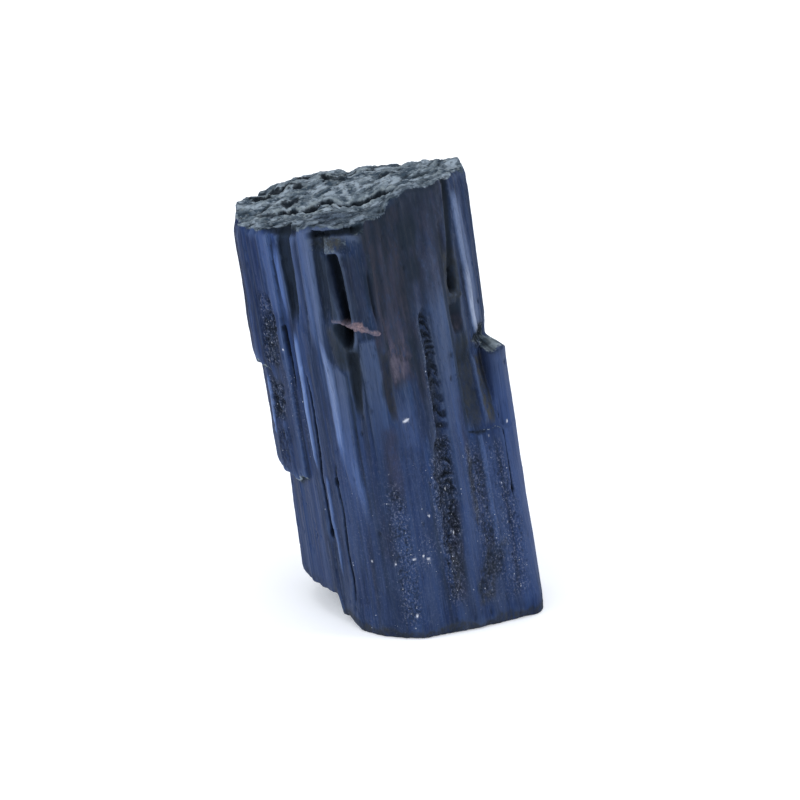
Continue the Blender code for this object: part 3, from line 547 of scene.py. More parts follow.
stain = wash(stain, [(11.0, 13.4, 0.7), (17.0, 13.5, 0.9), (20.0, 13.6, 0.7)], (3, 1), 0.6, 0.58, 0.5, 5)
stain = wash(stain, [(6.4, 17.3, 0.22), (8.3, 17.4, 0.22)], (0.5, 0.5), 0.5, 1.0, 0.4, 6)
stain = wash(stain, [(24.0, 0.0, 1.6), (36.0, 0.0, 1.6)], (2, 1), 0.6, 0.35, 0.7, 7)
stain = wash(stain, [(10.0, 40.5, 2.4), (24.0, 41.0, 2.8), (34.0, 41.0, 2.4)], (4, 3), 0.6, 0.5, 0.8, 8)
deep = wash(deep, [(32.2, 18.0, 0.9), (34.0, 18.3, 1.25), (35.8, 18.3, 1.1)], (0.9, 0.9), 0.4, 1.0, 0.12, 25)
# painted shadow under the right front rim
deep = wash(deep, [(33.6, 16.5, 3.2), (37.6, 18.0, 4.6)], (2.0, 0.2), 0.6, 0.55, 0.3, 70)
deep = wash(deep, [(28.8, 10.55, 0.45), (34.4, 10.1, 0.50)], (0.6, 0.3), 0.4, 0.80, 0.2, 81)
deep = wash(deep, [(28.8, 12.25, 0.20), (34.4, 11.95, 0.25)], (0.6, 0.3), 0.4, 0.55, 0.3, 82)
deep = wash(deep, [(26.6, 17.7, 0.3), (30.0, 17.6, 0.5), (32.4, 17.5, 0.4)], (1.0, 0.8), 0.5, 0.60, 0.6, 88)
deep = wash(deep, [(30.0, 20.9, 0.3), (31.6, 21.3, 0.6), (33.0, 21.5, 0.4)], (0.6, 0.6), 0.5, 0.75, 0.5, 89)
deep = wash(deep, [(26.9, 22.2, 0.9), (28.4, 22.3, 1.0), (30.4, 22.4, 0.8)], (0.4, 0.6), 0.4, 0.70, 0.6, 90)
deep = wash(deep, [(27.4, 14.95, 0.16), (30.0, 15.1, 0.26), (36.5, 15.0, 0.30)], (2.0, 0.4), 0.5, 0.60, 0.4, 71)
deep = wash(deep, [(24.0, 16.55, 0.16), (29.0, 16.5, 0.20), (36.5, 16.8, 0.26)], (2.0, 0.4), 0.5, 0.48, 0.5, 72)
deep = wash(deep, [(27.0, 14.1, 0.10), (31.0, 14.3, 0.16), (36.5, 14.2, 0.22)], (2.0, 0.4), 0.5, 0.55, 0.3, 73)
deep = wash(deep, [(28.0, 15.8, 0.14), (33.0, 15.9, 0.22), (36.8, 15.7, 0.26)], (3.0, 0.4), 0.5, 0.45, 0.4, 74)
deep = wash(deep, [(29.0, 20.9, 0.2), (33.0, 21.0, 0.3), (36.8, 20.8, 0.35)], (3.0, 0.4), 0.5, 0.50, 0.4, 75)
deep = wash(deep, [(2.6, 19.5, 0.35), (3.4, 19.5, 0.45), (4.2, 19.6, 0.35)], (0.5, 0.5), 0.5, 0.80, 0.5, 76)
deep = wash(deep, [(2.0, 16.1, 0.18), (9.0, 16.2, 0.22), (16.0, 16.3, 0.16)], (3.0, 3.0), 0.5, 0.50, 0.6, 77)
deep = wash(deep, [(3.0, 11.3, 0.16), (9.0, 11.3, 0.20), (17.0, 11.4, 0.16)], (3.0, 3.0), 0.5, 0.45, 0.6, 78)
deep = wash(deep, [(2.0, 9.6, 0.12), (8.0, 9.5, 0.16), (13.0, 9.5, 0.12)], (3.0, 3.0), 0.5, 0.50, 0.6, 79)
deep = wash(deep, [(4.0, 23.9, 0.14), (12.0, 23.9, 0.16), (15.6, 23.9, 0.14)], (3.0, 1.0), 0.5, 0.50, 0.6, 80)
deep = wash(deep, [(29.6, 18.2, 0.6), (31.0, 18.3, 0.75), (32.6, 18.2, 0.6)], (0.8, 0.8), 0.4, 0.95, 0.2, 26)
deep = wash(deep, [(20.5, 17.2, 0.20), (27.0, 17.0, 0.26), (33.0, 17.2, 0.30)], (2.0, 1.0), 0.5, 0.45, 0.6, 28)
deep = wash(deep, [(29.0, 13.75, 0.16), (31.0, 13.75, 0.22), (33.4, 13.8, 0.16)], (1.2, 1.2), 0.5, 0.80, 0.2, 29)
deep = wash(deep, [(16.4, 21.1, 0.16), (22.0, 21.1, 0.20), (31.0, 21.0, 0.24)], (1.0, 2.0), 0.4, 0.72, 0.3, 30)
deep = wash(deep, [(30.4, 22.2, 0.45), (33.0, 22.6, 0.50), (36.6, 22.9, 0.50)], (0.8, 0.3), 0.4, 0.85, 0.3, 31)
deep = wash(deep, [(34.8, 20.0, 0.6), (37.2, 19.6, 1.3)], (1.2, 0.2), 0.6, 0.50, 0.3, 32)
deep = wash(deep, [(27.6, 6.5, 0.40), (30.0, 6.7, 0.50), (35.9, 6.8, 0.62)], (2.0, 0.2), 0.35, 0.85, 0.2, 33)
deep = wash(deep, [(29.0, 10.1, 0.40), (36.2, 10.1, 0.45)], (2.0, 0.4), 0.4, 0.42, 0.3, 34)
deep = wash(deep, [(26.5, 11.3, 0.35), (27.3, 11.3, 0.80), (28.3, 11.15, 1.05), (28.7, 11.1, 1.0)], (0.3, 0.15), 0.15, 1.0, 0.0, 35)
deep = wash(deep, [(24.5, 10.9, 0.6), (25.6, 10.9, 1.05), (28.2, 10.8, 1.25)], (0.5, 0.4), 0.35, 0.80, 0.4, 36)
deep = wash(deep, [(20.4, 11.4, 0.40), (24.0, 11.55, 0.60), (27.0, 11.7, 0.65)], (1.6, 0.4), 0.35, 0.72, 0.2, 37)
deep = wash(deep, [(11.0, 10.95, 0.10), (18.0, 10.85, 0.14), (25.0, 10.75, 0.12)], (2.0, 1.0), 0.4, 0.65, 0.3, 38)
deep = wash(deep, [(21.9, 13.75, 0.22), (22.8, 13.75, 0.26), (24.0, 13.8, 0.18)], (0.5, 0.6), 0.4, 0.7, 0.3, 39)
deep = wash(deep, [(25.6, 22.0, 0.6), (26.4, 22.0, 0.75), (27.2, 22.0, 0.8)], (0.5, 0.15), 0.3, 0.85, 0.3, 40)
deep = wash(deep, [(21.6, 22.0, 0.7), (23.0, 22.0, 0.85), (24.6, 22.2, 0.75)], (0.5, 0.6), 0.35, 0.75, 0.5, 41)
deep = wash(deep, [(16.6, 22.2, 0.8), (19.0, 22.1, 0.9), (22.0, 22.1, 0.9)], (1.5, 0.6), 0.35, 0.50, 0.9, 42)
deep = wash(deep, [(16.3, 24.3, 0.26), (19.0, 24.3, 0.32), (22.0, 24.3, 0.36)], (0.8, 0.4), 0.4, 0.50, 0.6, 43)
deep = wash(deep, [(18.8, 2.5, 0.8), (20.8, 2.8, 0.9), (22.9, 3.1, 0.8)], (0.8, 0.6), 0.4, 0.62, 0.6, 44)
deep = wash(deep, [(23.6, 3.3, 0.5), (26.0, 3.6, 0.6), (28.2, 3.8, 0.75)], (0.8, 0.5), 0.4, 0.70, 0.6, 45)
deep = wash(deep, [(28.2, 1.0, 1.3), (28.9, 1.0, 1.3)], (0.3, 0.3), 0.4, 0.55, 0.5, 46)
deep = wash(deep, [(31.3, 1.2, 1.2), (32.6, 1.2, 1.2)], (0.5, 0.5), 0.4, 0.45, 0.5, 47)
light = wash(light, [(28.2, 4.9, 0.9), (36.0, 5.0, 1.0)], (1.0, 0.5), 0.4, 0.42, 0.2, 51)
light = wash(light, [(28.0, 8.7, 0.7), (36.6, 8.8, 0.75)], (1.5, 0.3), 0.3, 0.45, 0.2, 52)
light = wash(light, [(8.8, 9.9, 0.5), (16.0, 9.8, 0.70), (24.4, 9.8, 0.75), (25.8, 9.3, 0.3)], (7.0, 1.6), 0.45, 0.36, 0.4, 53)
light = wash(light, [(20.0, 13.0, 0.55), (27.4, 13.0, 0.62)], (3.0, 0.4), 0.3, 0.32, 0.2, 54)
light = wash(light, [(27.0, 12.6, 0.14), (30.5, 12.3, 0.16), (34.4, 12.1, 0.14)], (1.5, 0.8), 0.5, 0.45, 0.4, 93)
light = wash(light, [(15.0, 19.9, 0.8), (22.0, 20.0, 0.85), (33.0, 19.9, 0.80)], (8.0, 3.5), 0.4, 0.38, 0.4, 55)
light = wash(light, [(31.0, 21.6, 0.5), (36.3, 21.8, 0.6)], (1.0, 0.5), 0.4, 0.35, 0.4, 56)
light = wash(light, [(29.7, 21.6, 0.25), (30.8, 21.6, 0.35)], (0.4, 0.5), 0.4, 0.85, 0.4, 57)
light = wash(light, [(16.2, 23.4, 0.26), (23.0, 23.4, 0.28)], (0.3, 0.8), 0.45, 0.16, 0.4, 58)
light = wash(light, [(1.0, 25.8, 2.0), (12.0, 25.9, 1.9), (16.0, 25.9, 1.3), (22.2, 26.0, 1.3)], (2.0, 0.4), 0.5, 0.66, 0.35, 63)
light = wash(light, [(1.0, 13.0, 0.8), (9.0, 13.1, 0.9), (15.5, 13.1, 0.7)], (2.0, 3.0), 0.6, 0.22, 0.5, 64)
light = wash(light, [(1.0, 15.0, 0.5), (9.0, 15.0, 0.6), (19.5, 15.2, 0.5)], (3.0, 5.0), 0.6, 0.26, 0.5, 65)
light = wash(light, [(1.0, 18.7, 0.4), (6.0, 18.8, 0.4), (11.0, 19.0, 0.3)], (3.0, 3.0), 0.6, 0.26, 0.5, 66)
light = wash(light, [(1.0, 22.8, 0.7), (9.0, 22.9, 0.8), (15.5, 22.8, 0.8)], (3.0, 1.0), 0.6, 0.48, 0.4, 67)
light = wash(light, [(2.0, 2.4, 1.6), (12.0, 2.4, 1.4)], (3, 3), 0.6, 0.20, 0.5, 59)
light = wash(light, [(16.4, 15.4, 0.8), (19.0, 15.4, 1.0), (21.6, 15.2, 0.8)], (1.5, 1.2), 0.5, 0.50, 0.3, 94)
light = wash(light, [(5.0, 21.8, 0.9), (10.0, 21.9, 1.1), (15.2, 21.9, 1.0)], (2.0, 1.0), 0.6, 0.34, 0.5, 95)
light = wash(light, [(0.4, 24.5, 1.2), (3.6, 24.6, 1.4)], (0.5, 1.5), 0.6, 0.42, 0.4, 96)
light = wash(light, [(23.6, 25.3, 0.9), (30.0, 25.0, 0.8), (35.0, 24.6, 0.6)], (0.8, 1.0), 0.5, 0.45, 0.4, 60)
olive = wash(olive, [(16.3, 22.1, 1.0), (20.0, 22.1, 1.05), (24.4, 22.2, 1.0)], (1.2, 0.8), 0.3, 0.85, 0.5, 9)
olive = wash(olive, [(16.2, 23.9, 0.65), (19.0, 24.0, 0.75), (22.0, 24.1, 0.75)], (0.4, 0.3), 0.4, 1.0, 0.3, 19)
olive = wash(olive, [(26.8, 22.0, 0.9), (28.6, 22.2, 1.0), (31.4, 22.3, 0.8)], (0.4, 0.8), 0.4, 0.90, 0.3, 20)
olive = wash(olive, [(1.4, 20.0, 0.8), (3.3, 20.4, 1.1), (5.3, 21.4, 1.5), (7.0, 22.4, 1.2)], (0.8, 0.8), 0.6, 0.62, 0.8, 10)
olive = wash(olive, [(8.0, 20.5, 0.35), (12.0, 20.6, 0.35), (15.6, 20.8, 0.30)], (2.0, 1.0), 0.5, 0.65, 0.8, 83)
olive = wash(olive, [(3.0, 17.0, 0.4), (5.0, 17.3, 0.5), (8.0, 17.6, 0.4)], (1.5, 1.5), 0.5, 0.55, 0.7, 84)
stain = wash(stain, [(2.0, 17.6, 0.7), (7.0, 17.9, 0.7), (12.0, 18.5, 0.45)], (2.0, 2.0), 0.6, 0.66, 0.6, 85)
stain = wash(stain, [(7.0, 11.9, 0.7), (10.0, 12.0, 0.7), (13.0, 12.2, 0.5)], (2.0, 2.0), 0.6, 0.42, 0.6, 91)
stain = wash(stain, [(3.0, 21.2, 0.6), (10.0, 21.5, 0.6), (16.0, 21.6, 0.5)], (2.0, 2.0), 0.6, 0.42, 0.7, 92)
stain = wash(stain, [(8.0, 20.2, 0.30), (14.0, 20.6, 0.35), (22.0, 20.9, 0.30)], (3.0, 3.0), 0.5, 0.40, 0.8, 86)
olive = wash(olive, [(20.8, 11.4, 0.5), (26.4, 11.6, 0.7)], (1.0, 0.5), 0.4, 0.50, 0.4, 11)
olive = wash(olive, [(34.5, 10.9, 1.1), (35.3, 11.0, 1.6), (36.1, 11.2, 1.7)], (0.5, 0.4), 0.6, 1.0, 0.1, 87)
olive = wash(olive, [(24.6, 10.8, 0.6), (26.0, 10.8, 1.1), (28.4, 10.8, 1.2)], (0.6, 0.5), 0.4, 0.85, 0.3, 24)
olive = wash(olive, [(19.6, 14.2, 0.4), (26.2, 14.3, 0.4)], (1.5, 0.8), 0.4, 0.45, 0.4, 12)
olive = wash(olive, [(18.6, 2.8, 0.9), (22.9, 3.2, 0.8), (28.0, 3.8, 0.6)], (1, 0.6), 0.5, 0.28, 0.6, 13)
olive = wash(olive, [(4.0, 36.0, 1.4), (16.0, 36.0, 1.6)], (2, 3), 0.5, 0.6, 0.6, 14)
olive = wash(olive, [(8.0, 17.6, 0.9), (16.0, 17.9, 0.9), (27.0, 18.4, 0.6)], (2, 2), 0.5, 0.26, 0.6, 15)
speck = wash(speck, [(1.5, 12.9, 1.0), (9.0, 13.1, 1.0), (15.6, 13.1, 0.8)], (1, 2), 0.6, 0.85, 0.4, 16)
speck = wash(speck, [(2.4, 13.1, 0.4), (9.0, 13.2, 0.4), (14.6, 13.2, 0.35)], (0.6, 1), 0.5, 1.0, 0.3, 48)
speck = wash(speck, [(6.0, 14.8, 0.9), (8.4, 15.2, 1.2), (10.6, 15.0, 0.7)], (1.2, 1.2), 0.6, 0.55, 0.6, 49)
speck = wash(speck, [(16.3, 5.2, 0.9), (20.0, 4.9, 0.9), (25.0, 4.6, 0.7)], (2, 2), 0.6, 0.40, 0.6, 50)
speck = wash(speck, [(0.8, 22.6, 2.6), (9.0, 22.6, 3.2), (15.6, 22.4, 2.6)], (1, 1), 0.6, 0.36, 0.6, 17)
speck = wash(speck, [(3.0, 21.0, 0.9), (9.0, 21.1, 0.9), (16.0, 20.9, 0.8)], (1, 1), 0.5, 0.95, 0.5, 61)
speck = wash(speck, [(7.0, 16.4, 0.30), (12.0, 16.6, 0.35), (16.6, 17.0, 0.30)], (1, 1), 0.6, 1.0, 0.4, 69)
speck = wash(speck, [(17.2, 17.9, 0.14), (22.0, 17.95, 0.16), (27.4, 17.9, 0.12)], (0.6, 1), 0.5, 0.9, 0.4, 68)
speck = wash(speck, [(6.0, 24.2, 0.6), (12.0, 24.0, 0.6), (15.6, 24.0, 0.5)], (1, 1), 0.5, 0.85, 0.5, 62)
speck = wash(speck, [(1.0, 14.0, 10.0), (22.0, 14.0, 9.5)], (1, 8), 0.7, 0.20, 0.7, 18)
# painted glints on small bright flakes
for gl, gt, ga, gb in [(15.2, 19.65, 0.33, 0.11), (12.3, 7.7, 0.08, 0.07), (14.7, 7.9, 0.08, 0.08), (15.1, 7.5, 0.15, 0.08),
                       (18.0, 12.6, 0.08, 0.08), (23.2, 15.6, 0.10, 0.05), (13.3, 2.9, 0.09, 0.12), (17.9, 8.9, 0.07, 0.10),
                       (4.9, 25.7, 0.08, 0.06), (2.9, 24.3, 0.10, 0.07), (25.8, 15.9, 0.07, 0.07), (10.3, 7.95, 0.10, 0.06), (13.8, 7.9, 0.15, 0.06), (15.8, 11.1, 0.07, 0.08)]:
    glint = np.maximum(glint, 1 - smooth(np.hypot((E2 - gl) / ga, (T2 - gt) / gb), 0.7, 1.15))
D = D + 0.05 * glint

# crust of pinkish fibre lying across the foot of the deep furrow
fib = np.array([(10.3, 28.95, 0.09), (10.9, 28.9, 0.12), (11.5, 28.65, 0.12), (12.1, 28.55, 0.26), (12.6, 28.35, 0.36), (13.05, 28.05, 0.20), (13.5, 27.65, 0.13), (13.75, 27.55, 0.20), (14.1, 27.5, 0.17)])
fibre = np.zeros_like(D)
for (l0, t0, r0), (l1, t1, r1) in zip(fib, fib[1:]):
    dl, dt = l1 - l0, t1 - t0
    f = np.clip(((E2 - l0) * dl + (T2 - t0) * dt) / (dl * dl + dt * dt), 0, 1)
    r = r0 + (r1 - r0) * f
    dist = np.hypot(E2 - l0 - f * dl, T2 - t0 - f * dt) / (r * (1 + 0.5 * noise3(E2 * 3.6, T2 * 4.5, 0.0, 79)))
    fibre = np.maximum(fibre, np.clip(1 - dist ** 2, 0, 1))
lump = 0.02 + 0.16 * np.sqrt(fibre) + 0.05 * noise3(E2 * 5, T2 * 5, 0.0, 77)
D = np.where(fibre > 0, np.maximum(D, lump), D)
fibre = smooth(fibre, 0.0, 0.25) * np.interp(E2, [10.2, 11.6, 12.3, 12.8, 13.2, 13.8, 14.4], [0.35, 0.55, 0.95, 1.0, 0.55, 0.75, 0.5])
recess_shade = recess_shade * (1 - fibre)

# lumps and weathering all over, finer than the striations are wide
D = D + 0.020 * fbm(CX * 1.6, CY * 1.6, T2 * 1.1, 3, 131)
D = D - 0.05 * smooth(noise3(CX * 2.4, CY * 2.4, T2 * 0.8, 141), 0.55, 0.8) * smooth(noise3(CX * 6, CY * 6, T2 * 5, 142), 0.0, 0.5)
# odd short nicks along the ridges
f1, f2, ce = worley(E2 / 0.9, T2 / 1.6, 0.5 + 0 * E2, 151)
nick = np.clip(1 - f1 / 0.22, 0, 1) * (ce > 0.80)
D = D - 0.12 * nick
# painted shade in the nicks
recess_shade = np.maximum(recess_shade, 0.6 * nick)


# ------------------------------------------------------ upper and lower breaks
def shards(x, y, seed):
    """Flat three-cornered facets with sharp creases, -1 to 1."""
    ix, iy = np.floor(x).astype(np.int64), np.floor(y).astype(np.int64)
    fx, fy = x - ix, y - iy
    zero = ix * 0
    h00, h10 = _hash(ix, iy, zero, seed), _hash(ix + 1, iy, zero, seed)
    h01, h11 = _hash(ix, iy + 1, zero, seed), _hash(ix + 1, iy + 1, zero, seed)
    low = h00 + fx * (h10 - h00) + fy * (h01 - h00)
    high = h11 + (1 - fx) * (h01 - h11) + (1 - fy) * (h10 - h11)
    return np.where(fx + fy < 1, low, high) * 2 - 1


def crevice(p, q, off):
    """Gaping crack at the foot of the step across the upper break, with a branch."""
    run = smooth(p, -7.4, -6.4) * (1 - smooth(p, 1.4, 2.2))
    gape = 0.19 + 0.13 * noise3(p * 1.3, 0.0, 0.0, 165) + 0.05 * noise3(p * 5.0, 0.0, 0.0, 168)
    main = np.exp(-((off - 0.16) / gape) ** 2)
    branch = np.exp(-((off - 0.75 - 0.10 * (p + 4.0)) / 0.12) ** 2) * smooth(p, -6.2, -5.2) * (1 - smooth(p, -2.8, -2.0)) * 0.7
    return run * np.maximum(main, branch)


BREAK_PITS = [(-3.4, -4.1, 0.45, 0.95, 0.75), (-8.6, -2.4, 0.95, 0.55, 0.55), (-7.3, -3.2, 0.95, 0.50, 0.60),
              (-1.4, -4.2, 0.45, 0.45, 0.5), (0.2, -4.8, 0.40, 0.45, 0.55), (-5.1, -5.0, 0.4, 0.4, 0.4),
              (-6.4, -0.2, 0.75, 0.55, 0.35), (-2.2, -3.1, 0.4, 0.4, 0.3), (-5.6, -2.9, 0.4, 0.35, 0.35),
              (-5.0, 4.0, 0.6, 0.5, 0.25), (-3.0, 2.4, 0.8, 0.30, 0.3), (4.4, -1.5, 0.6, 0.5, 0.2),
              (-8.0, 1.6, 0.7, 0.35, 0.25), (1.6, -2.6, 0.7, 0.35, 0.22), (-0.4, 4.6, 0.8, 0.35, 0.22)]


def hollow_at(p, q, cp, cq, rp, rq):
    """Rounded pit with a ragged outline, 1 at its middle."""
    rr = np.hypot((p - cp) / rp, (q - cq) / rq) / (1 + 0.55 * noise3(p * 1.6, q * 1.6, 5.0, 195) + 0.40 * noise3(p * 4.3, q * 4.3, 5.0, 196))
    return np.clip(1 - rr ** 2, 0, 1)


def break_shade(p, q):
    """Where the upper break gets painted shade, near black: its deeper pits and the crack at the step."""
    black = 0.0
    for cp, cq, rp, rq, d in BREAK_PITS:
        black = np.maximum(black, smooth(hollow_at(p, q, cp, cq, 1.35 * rp, 1.35 * rq), 0.03, 0.4) * min(1.0, 2.0 * d + 0.25))
    riser_q = np.interp(p, STEP_P, STEP_Q) + 0.26 * noise3(p * 0.9, q * 0.3, 0.0, 161) + 0.17 * noise3(p * 2.7, q * 0.8, 0.0, 162) + 0.06 * noise3(p * 7.0, q * 2.0, 0.0, 163)
    return np.maximum(black, smooth(crevice(p, q, q - riser_q), 0.10, 0.5))


STEP_P = [-8.4, -6.8, -5.4, -4.4, -3.3, -1.8, -0.7, 0.0, 1.4, 2.6, 3.6, 4.2, 5.3, 7.0]
STEP_Q = [2.3, 1.2, 1.2, 0.7, 0.3, 0.8, 0.8, 0.4, 0.7, 0.9, 0.3, 0.0, 0.2, -2.0]


def break_height(p, q):
    flat_p, flat_q = p.ravel(), q.ravel()
    total = np.zeros(flat_p.shape)
    weight = np.zeros(flat_p.shape)
    for bp, bq, bt in BREAK_POINTS:
        w = 1.0 / ((bp - flat_p) ** 2 + (bq - flat_q) ** 2 + 0.6) ** 1.6
        total += w * bt
        weight += w
    z = (total / weight).reshape(p.shape)
    # crest along the back rim
    z = z + smooth(-q, 1.5, 4.5) * np.interp(p, [-9.9, -8.4, -7.2, -6.2, -4.8, -3.8, -2.4, -1.6, -0.4, 1.2, 2.6, 4.2, 5.6, 7.2],
                                             [-0.35, -0.35, 0.15, 0.42, 0.12, 0.34, 0.0, -0.25, 0.12, 0.16, 0.0, 0.15, 0.28, 0.50])
    riser_q = np.interp(p, STEP_P, STEP_Q)
    riser_q = riser_q + 0.26 * noise3(p * 0.9, q * 0.3, 0.0, 161) + 0.17 * noise3(p * 2.7, q * 0.8, 0.0, 162) + 0.06 * noise3(p * 7.0, q * 2.0, 0.0, 163)
    side_p = np.interp(q, [0.9, 2.5, 4.5, 6.5, 8.5], [2.3, 2.1, 1.8, 1.3, 0.5]) + 0.25 * noise3(q * 1.1, p * 0.2, 3.0, 164)
    ahead = np.minimum(q - riser_q, side_p - p)
    inside = smooth(p, -9.0, -7.0)
    z = z - 0.22 * inside * smooth(ahead, -0.04, 0.06) * np.clip(1 - (ahead - 0.2) / 4.2, 0, 1)
    z = z - 0.34 * crevice(p, q, q - riser_q)
    z = z + 0.12 * noise3(p * 0.55, q * 0.7, 1.7, 171)
    wx, wy = 0.45 * noise3(p * 0.8, q * 0.8, 5.0, 174), 0.45 * noise3(p * 0.8, q * 0.8, 9.0, 175)
    z = z + 0.17 * shards(p * 0.62 + wx, q * 0.80 + wy, 181) + 0.10 * shards(p * 1.5 + 1.5 * wx, q * 1.7 + 1.5 * wy, 182)
    z = z + 0.055 * shards(p * 3.6 + 2 * wy, q * 3.9 + 2 * wx, 183) + 0.035 * noise3(p * 7.5, q * 8.0, 3.0, 192)
    for cp, cq, rp, rq, d in BREAK_PITS:
        z = z - 0.75 * d * hollow_at(p, q, cp, cq, rp, rq)
    return z


def foot_height(p, q):
    """Underside: flat where it stands, chipped away at the lower left and rolled at its edges."""
    g = ground_t(p, q)
    fade = smooth(q, -3.6, -0.6)
    n = 0.14 * noise3(p * 0.7, q * 0.7, 3.0, 211)
    riser = smooth(-(p + 6.95 + 0.5 * n), -0.10, 0.20)
    rise = fade * (0.55 * smooth(-(p + 5.4 + n), 0.0, 1.0) + 1.90 * riser - 0.06 * np.clip(-(p + 8.4), 0, 9))
    rise = rise + 0.04 * rise * noise3(p * 1.8, q * 1.8, 4.0, 212) + 0.05 * np.clip(rise, 0, 1) * noise3(p * 4, q * 4, 4.0, 213)
    return g + np.maximum(rise, 0.0)


X = P + D[..., None] * N
for _ in range(1):
    pass
# rim chips: the side is pared back near the upper rim
rim_t = break_height(X[-18, :, 0], X[-18, :, 1])
below = rim_t[None, :] - T2
wear = 0.10 + 0.10 * noise3(CX * 1.4, CY * 1.4, 9.0, 221)[0] + 0.28 * smooth(noise3(CX * 0.7, CY * 0.7, 9.0, 222)[0], 0.15, 0.6)
D = D - wear[None, :] * np.clip(1 - below / 0.55, 0, 1.6) ** 1.5
frac = np.maximum(frac, np.clip(1 - below / (0.25 + 0.5 * wear[None, :]), 0, 1) * 0.8)


# painted shadow under the right front rim
under = np.exp(-((below - 0.30 - 0.15 * rag1) / 0.34) ** 2) * smooth(E2, 14.6, 16.0) * (1 - smooth(E2, 21.5, 22.8))
deep = np.maximum(deep, 0.85 * under)


def scoop(l0, t0, rl, rt, depth, power=1.0, pale=0.7, shade=0.0):
    """Conchoidal chip taken out of the side."""
    global D, frac, recess_shade
    d = np.mod(E2 - l0 + ROUND / 2, ROUND) - ROUND / 2
    n = 1 + 0.35 * noise3(E2 * 1.3, T2 * 1.3, 0.0, int(l0 * 10)) + 0.15 * noise3(E2 * 4, T2 * 4, 0.0, int(l0 * 10) + 1)
    r = np.hypot(d / rl, (T2 - t0) / rt) / n
    c = np.clip(1 - r ** 2, 0, 1) ** power
    D = D - depth * c
    frac = np.maximum(frac, pale * smooth(c, 0.02, 0.25))
    if shade:
        up = smooth((T2 - t0) / rt, 0.0, 0.9)
        recess_shade = np.maximum(recess_shade, shade * smooth(c, 0.02, 0.2) * up)


scoop(10.9, 35.3, 2.05, 1.00, 0.32, 1.5, 0.40 + 0.16 * noise3(E2 * 1.5, T2 * 1.5, 4.0, 271), 0.0)     # under the front rim
lip = smooth(E2, 9.0, 9.8) * (1 - smooth(E2, 13.4, 14.4)) * np.exp(-((T2 - 36.25 + 0.12 * np.abs(E2 - 11.5) - 0.12 * rag1) / 0.26) ** 4)
D = D - 0.42 * lip
# painted shade in the undercut below the front rim
recess_shade = np.maximum(recess_shade, lip)
notch = (smooth(E2, 4.9, 5.5) * (1 - smooth(E2, 7.7, 8.5))
         * np.exp(-((T2 - 35.75 - 0.18 * np.abs(E2 - 6.6) - 0.2 * rag1) / 0.42) ** 4))       # undercut of the left front rim
D = D - 0.40 * notch
# painted shade in the undercut
recess_shade = np.maximum(recess_shade, 0.95 * notch)
frac = np.maximum(frac, 0.9 * smooth(T2, 35.9, 36.2) * smooth(E2, 4.6, 5.2) * (1 - smooth(E2, 8.2, 9.0)))
scoop(13.9, 36.2, 0.8, 0.5, 0.30, 1.0, 0.6)
scoop(26.4, 36.4, 1.2, 0.6, 0.20, 1.0, 0.6)
scoop(44.0, 36.4, 1.6, 1.2, 0.5, 1.0, 0.8)
scoop(34.0, 36.2, 1.2, 0.9, 0.4, 1.0, 0.8)
scoop(25.2, 23.05, 1.35, 0.75, 0.30, 0.9, 0.60, 0.0)       # broken ground above the right ledge
crush = np.clip(1 - np.hypot((E2 - 25.0) / 1.50, (T2 - 22.95) / 1.0), 0, 1)
# patchy painted shade over the broken ground
recess_shade = np.maximum(recess_shade, smooth(crush, 0.02, 0.25) * (1 - 0.85 * smooth(noise3(E2 * 3.6, T2 * 3.6, 0.0, 261), 0.10, 0.30)))
speck = np.maximum(speck, smooth(crush, 0.0, 0.3))

# trims along the outline
D = D + 0.13 * smooth(E2, 25.0, 26.5) * (1 - smooth(E2, 29.5, 31.0)) * smooth(T2, 22.5, 24.0)
D = D - 0.10 * smooth(E2, 24.6, 25.8) * (1 - smooth(E2, 29.5, 31.0)) * (1 - smooth(T2, 20.5, 22.5))
D = D - 0.30 * (1 - smooth(E2, 1.2, 2.6)) * smooth(T2, 34.2, 35.6) - 0.30 * smooth(E2, 49.5, 51.0) * smooth(T2, 34.2, 35.6)
D = D + 0.08 * smooth(E2, 24.5, 26.0) * (1 - smooth(E2, 29.0, 30.5)) * (1 - smooth(T2, 4.0, 9.0))
D = D + 0.34 * smooth(E2, 6.2, 7.2) * (1 - smooth(E2, 8.6, 11.5)) * (1 - smooth(T2, 0.5, 6.0))

X = P + D[..., None] * N

# lower and upper rim of each column
foot_t = np.empty(COLS)
top_t = np.empty(COLS)
h_all = break_height(X[..., 0], X[..., 1]) - T2
rows_hi = np.arange(int((33.0 - T_LO) / STEP_T), ROWS0)
for i in range(COLS):
    h = h_all[rows_hi, i]
    k = np.argmax(h < 0)
    a, b = h[k - 1], h[k]
    top_t[i] = tt[rows_hi[k - 1]] + (tt[1] - tt[0]) * a / (a - b)
b_all = T2 - foot_height(X[..., 0], X[..., 1])
rows_lo = int((9.0 - T_LO) / STEP_T)
for i in range(COLS):
    b = b_all[:rows_lo, i]
    k = rows_lo - 1 - np.argmax(b[::-1] < 0)
    a0, a1 = b[k], b[k + 1]
    foot_t[i] = tt[k] - (tt[1] - tt[0]) * a0 / (a1 - a0)

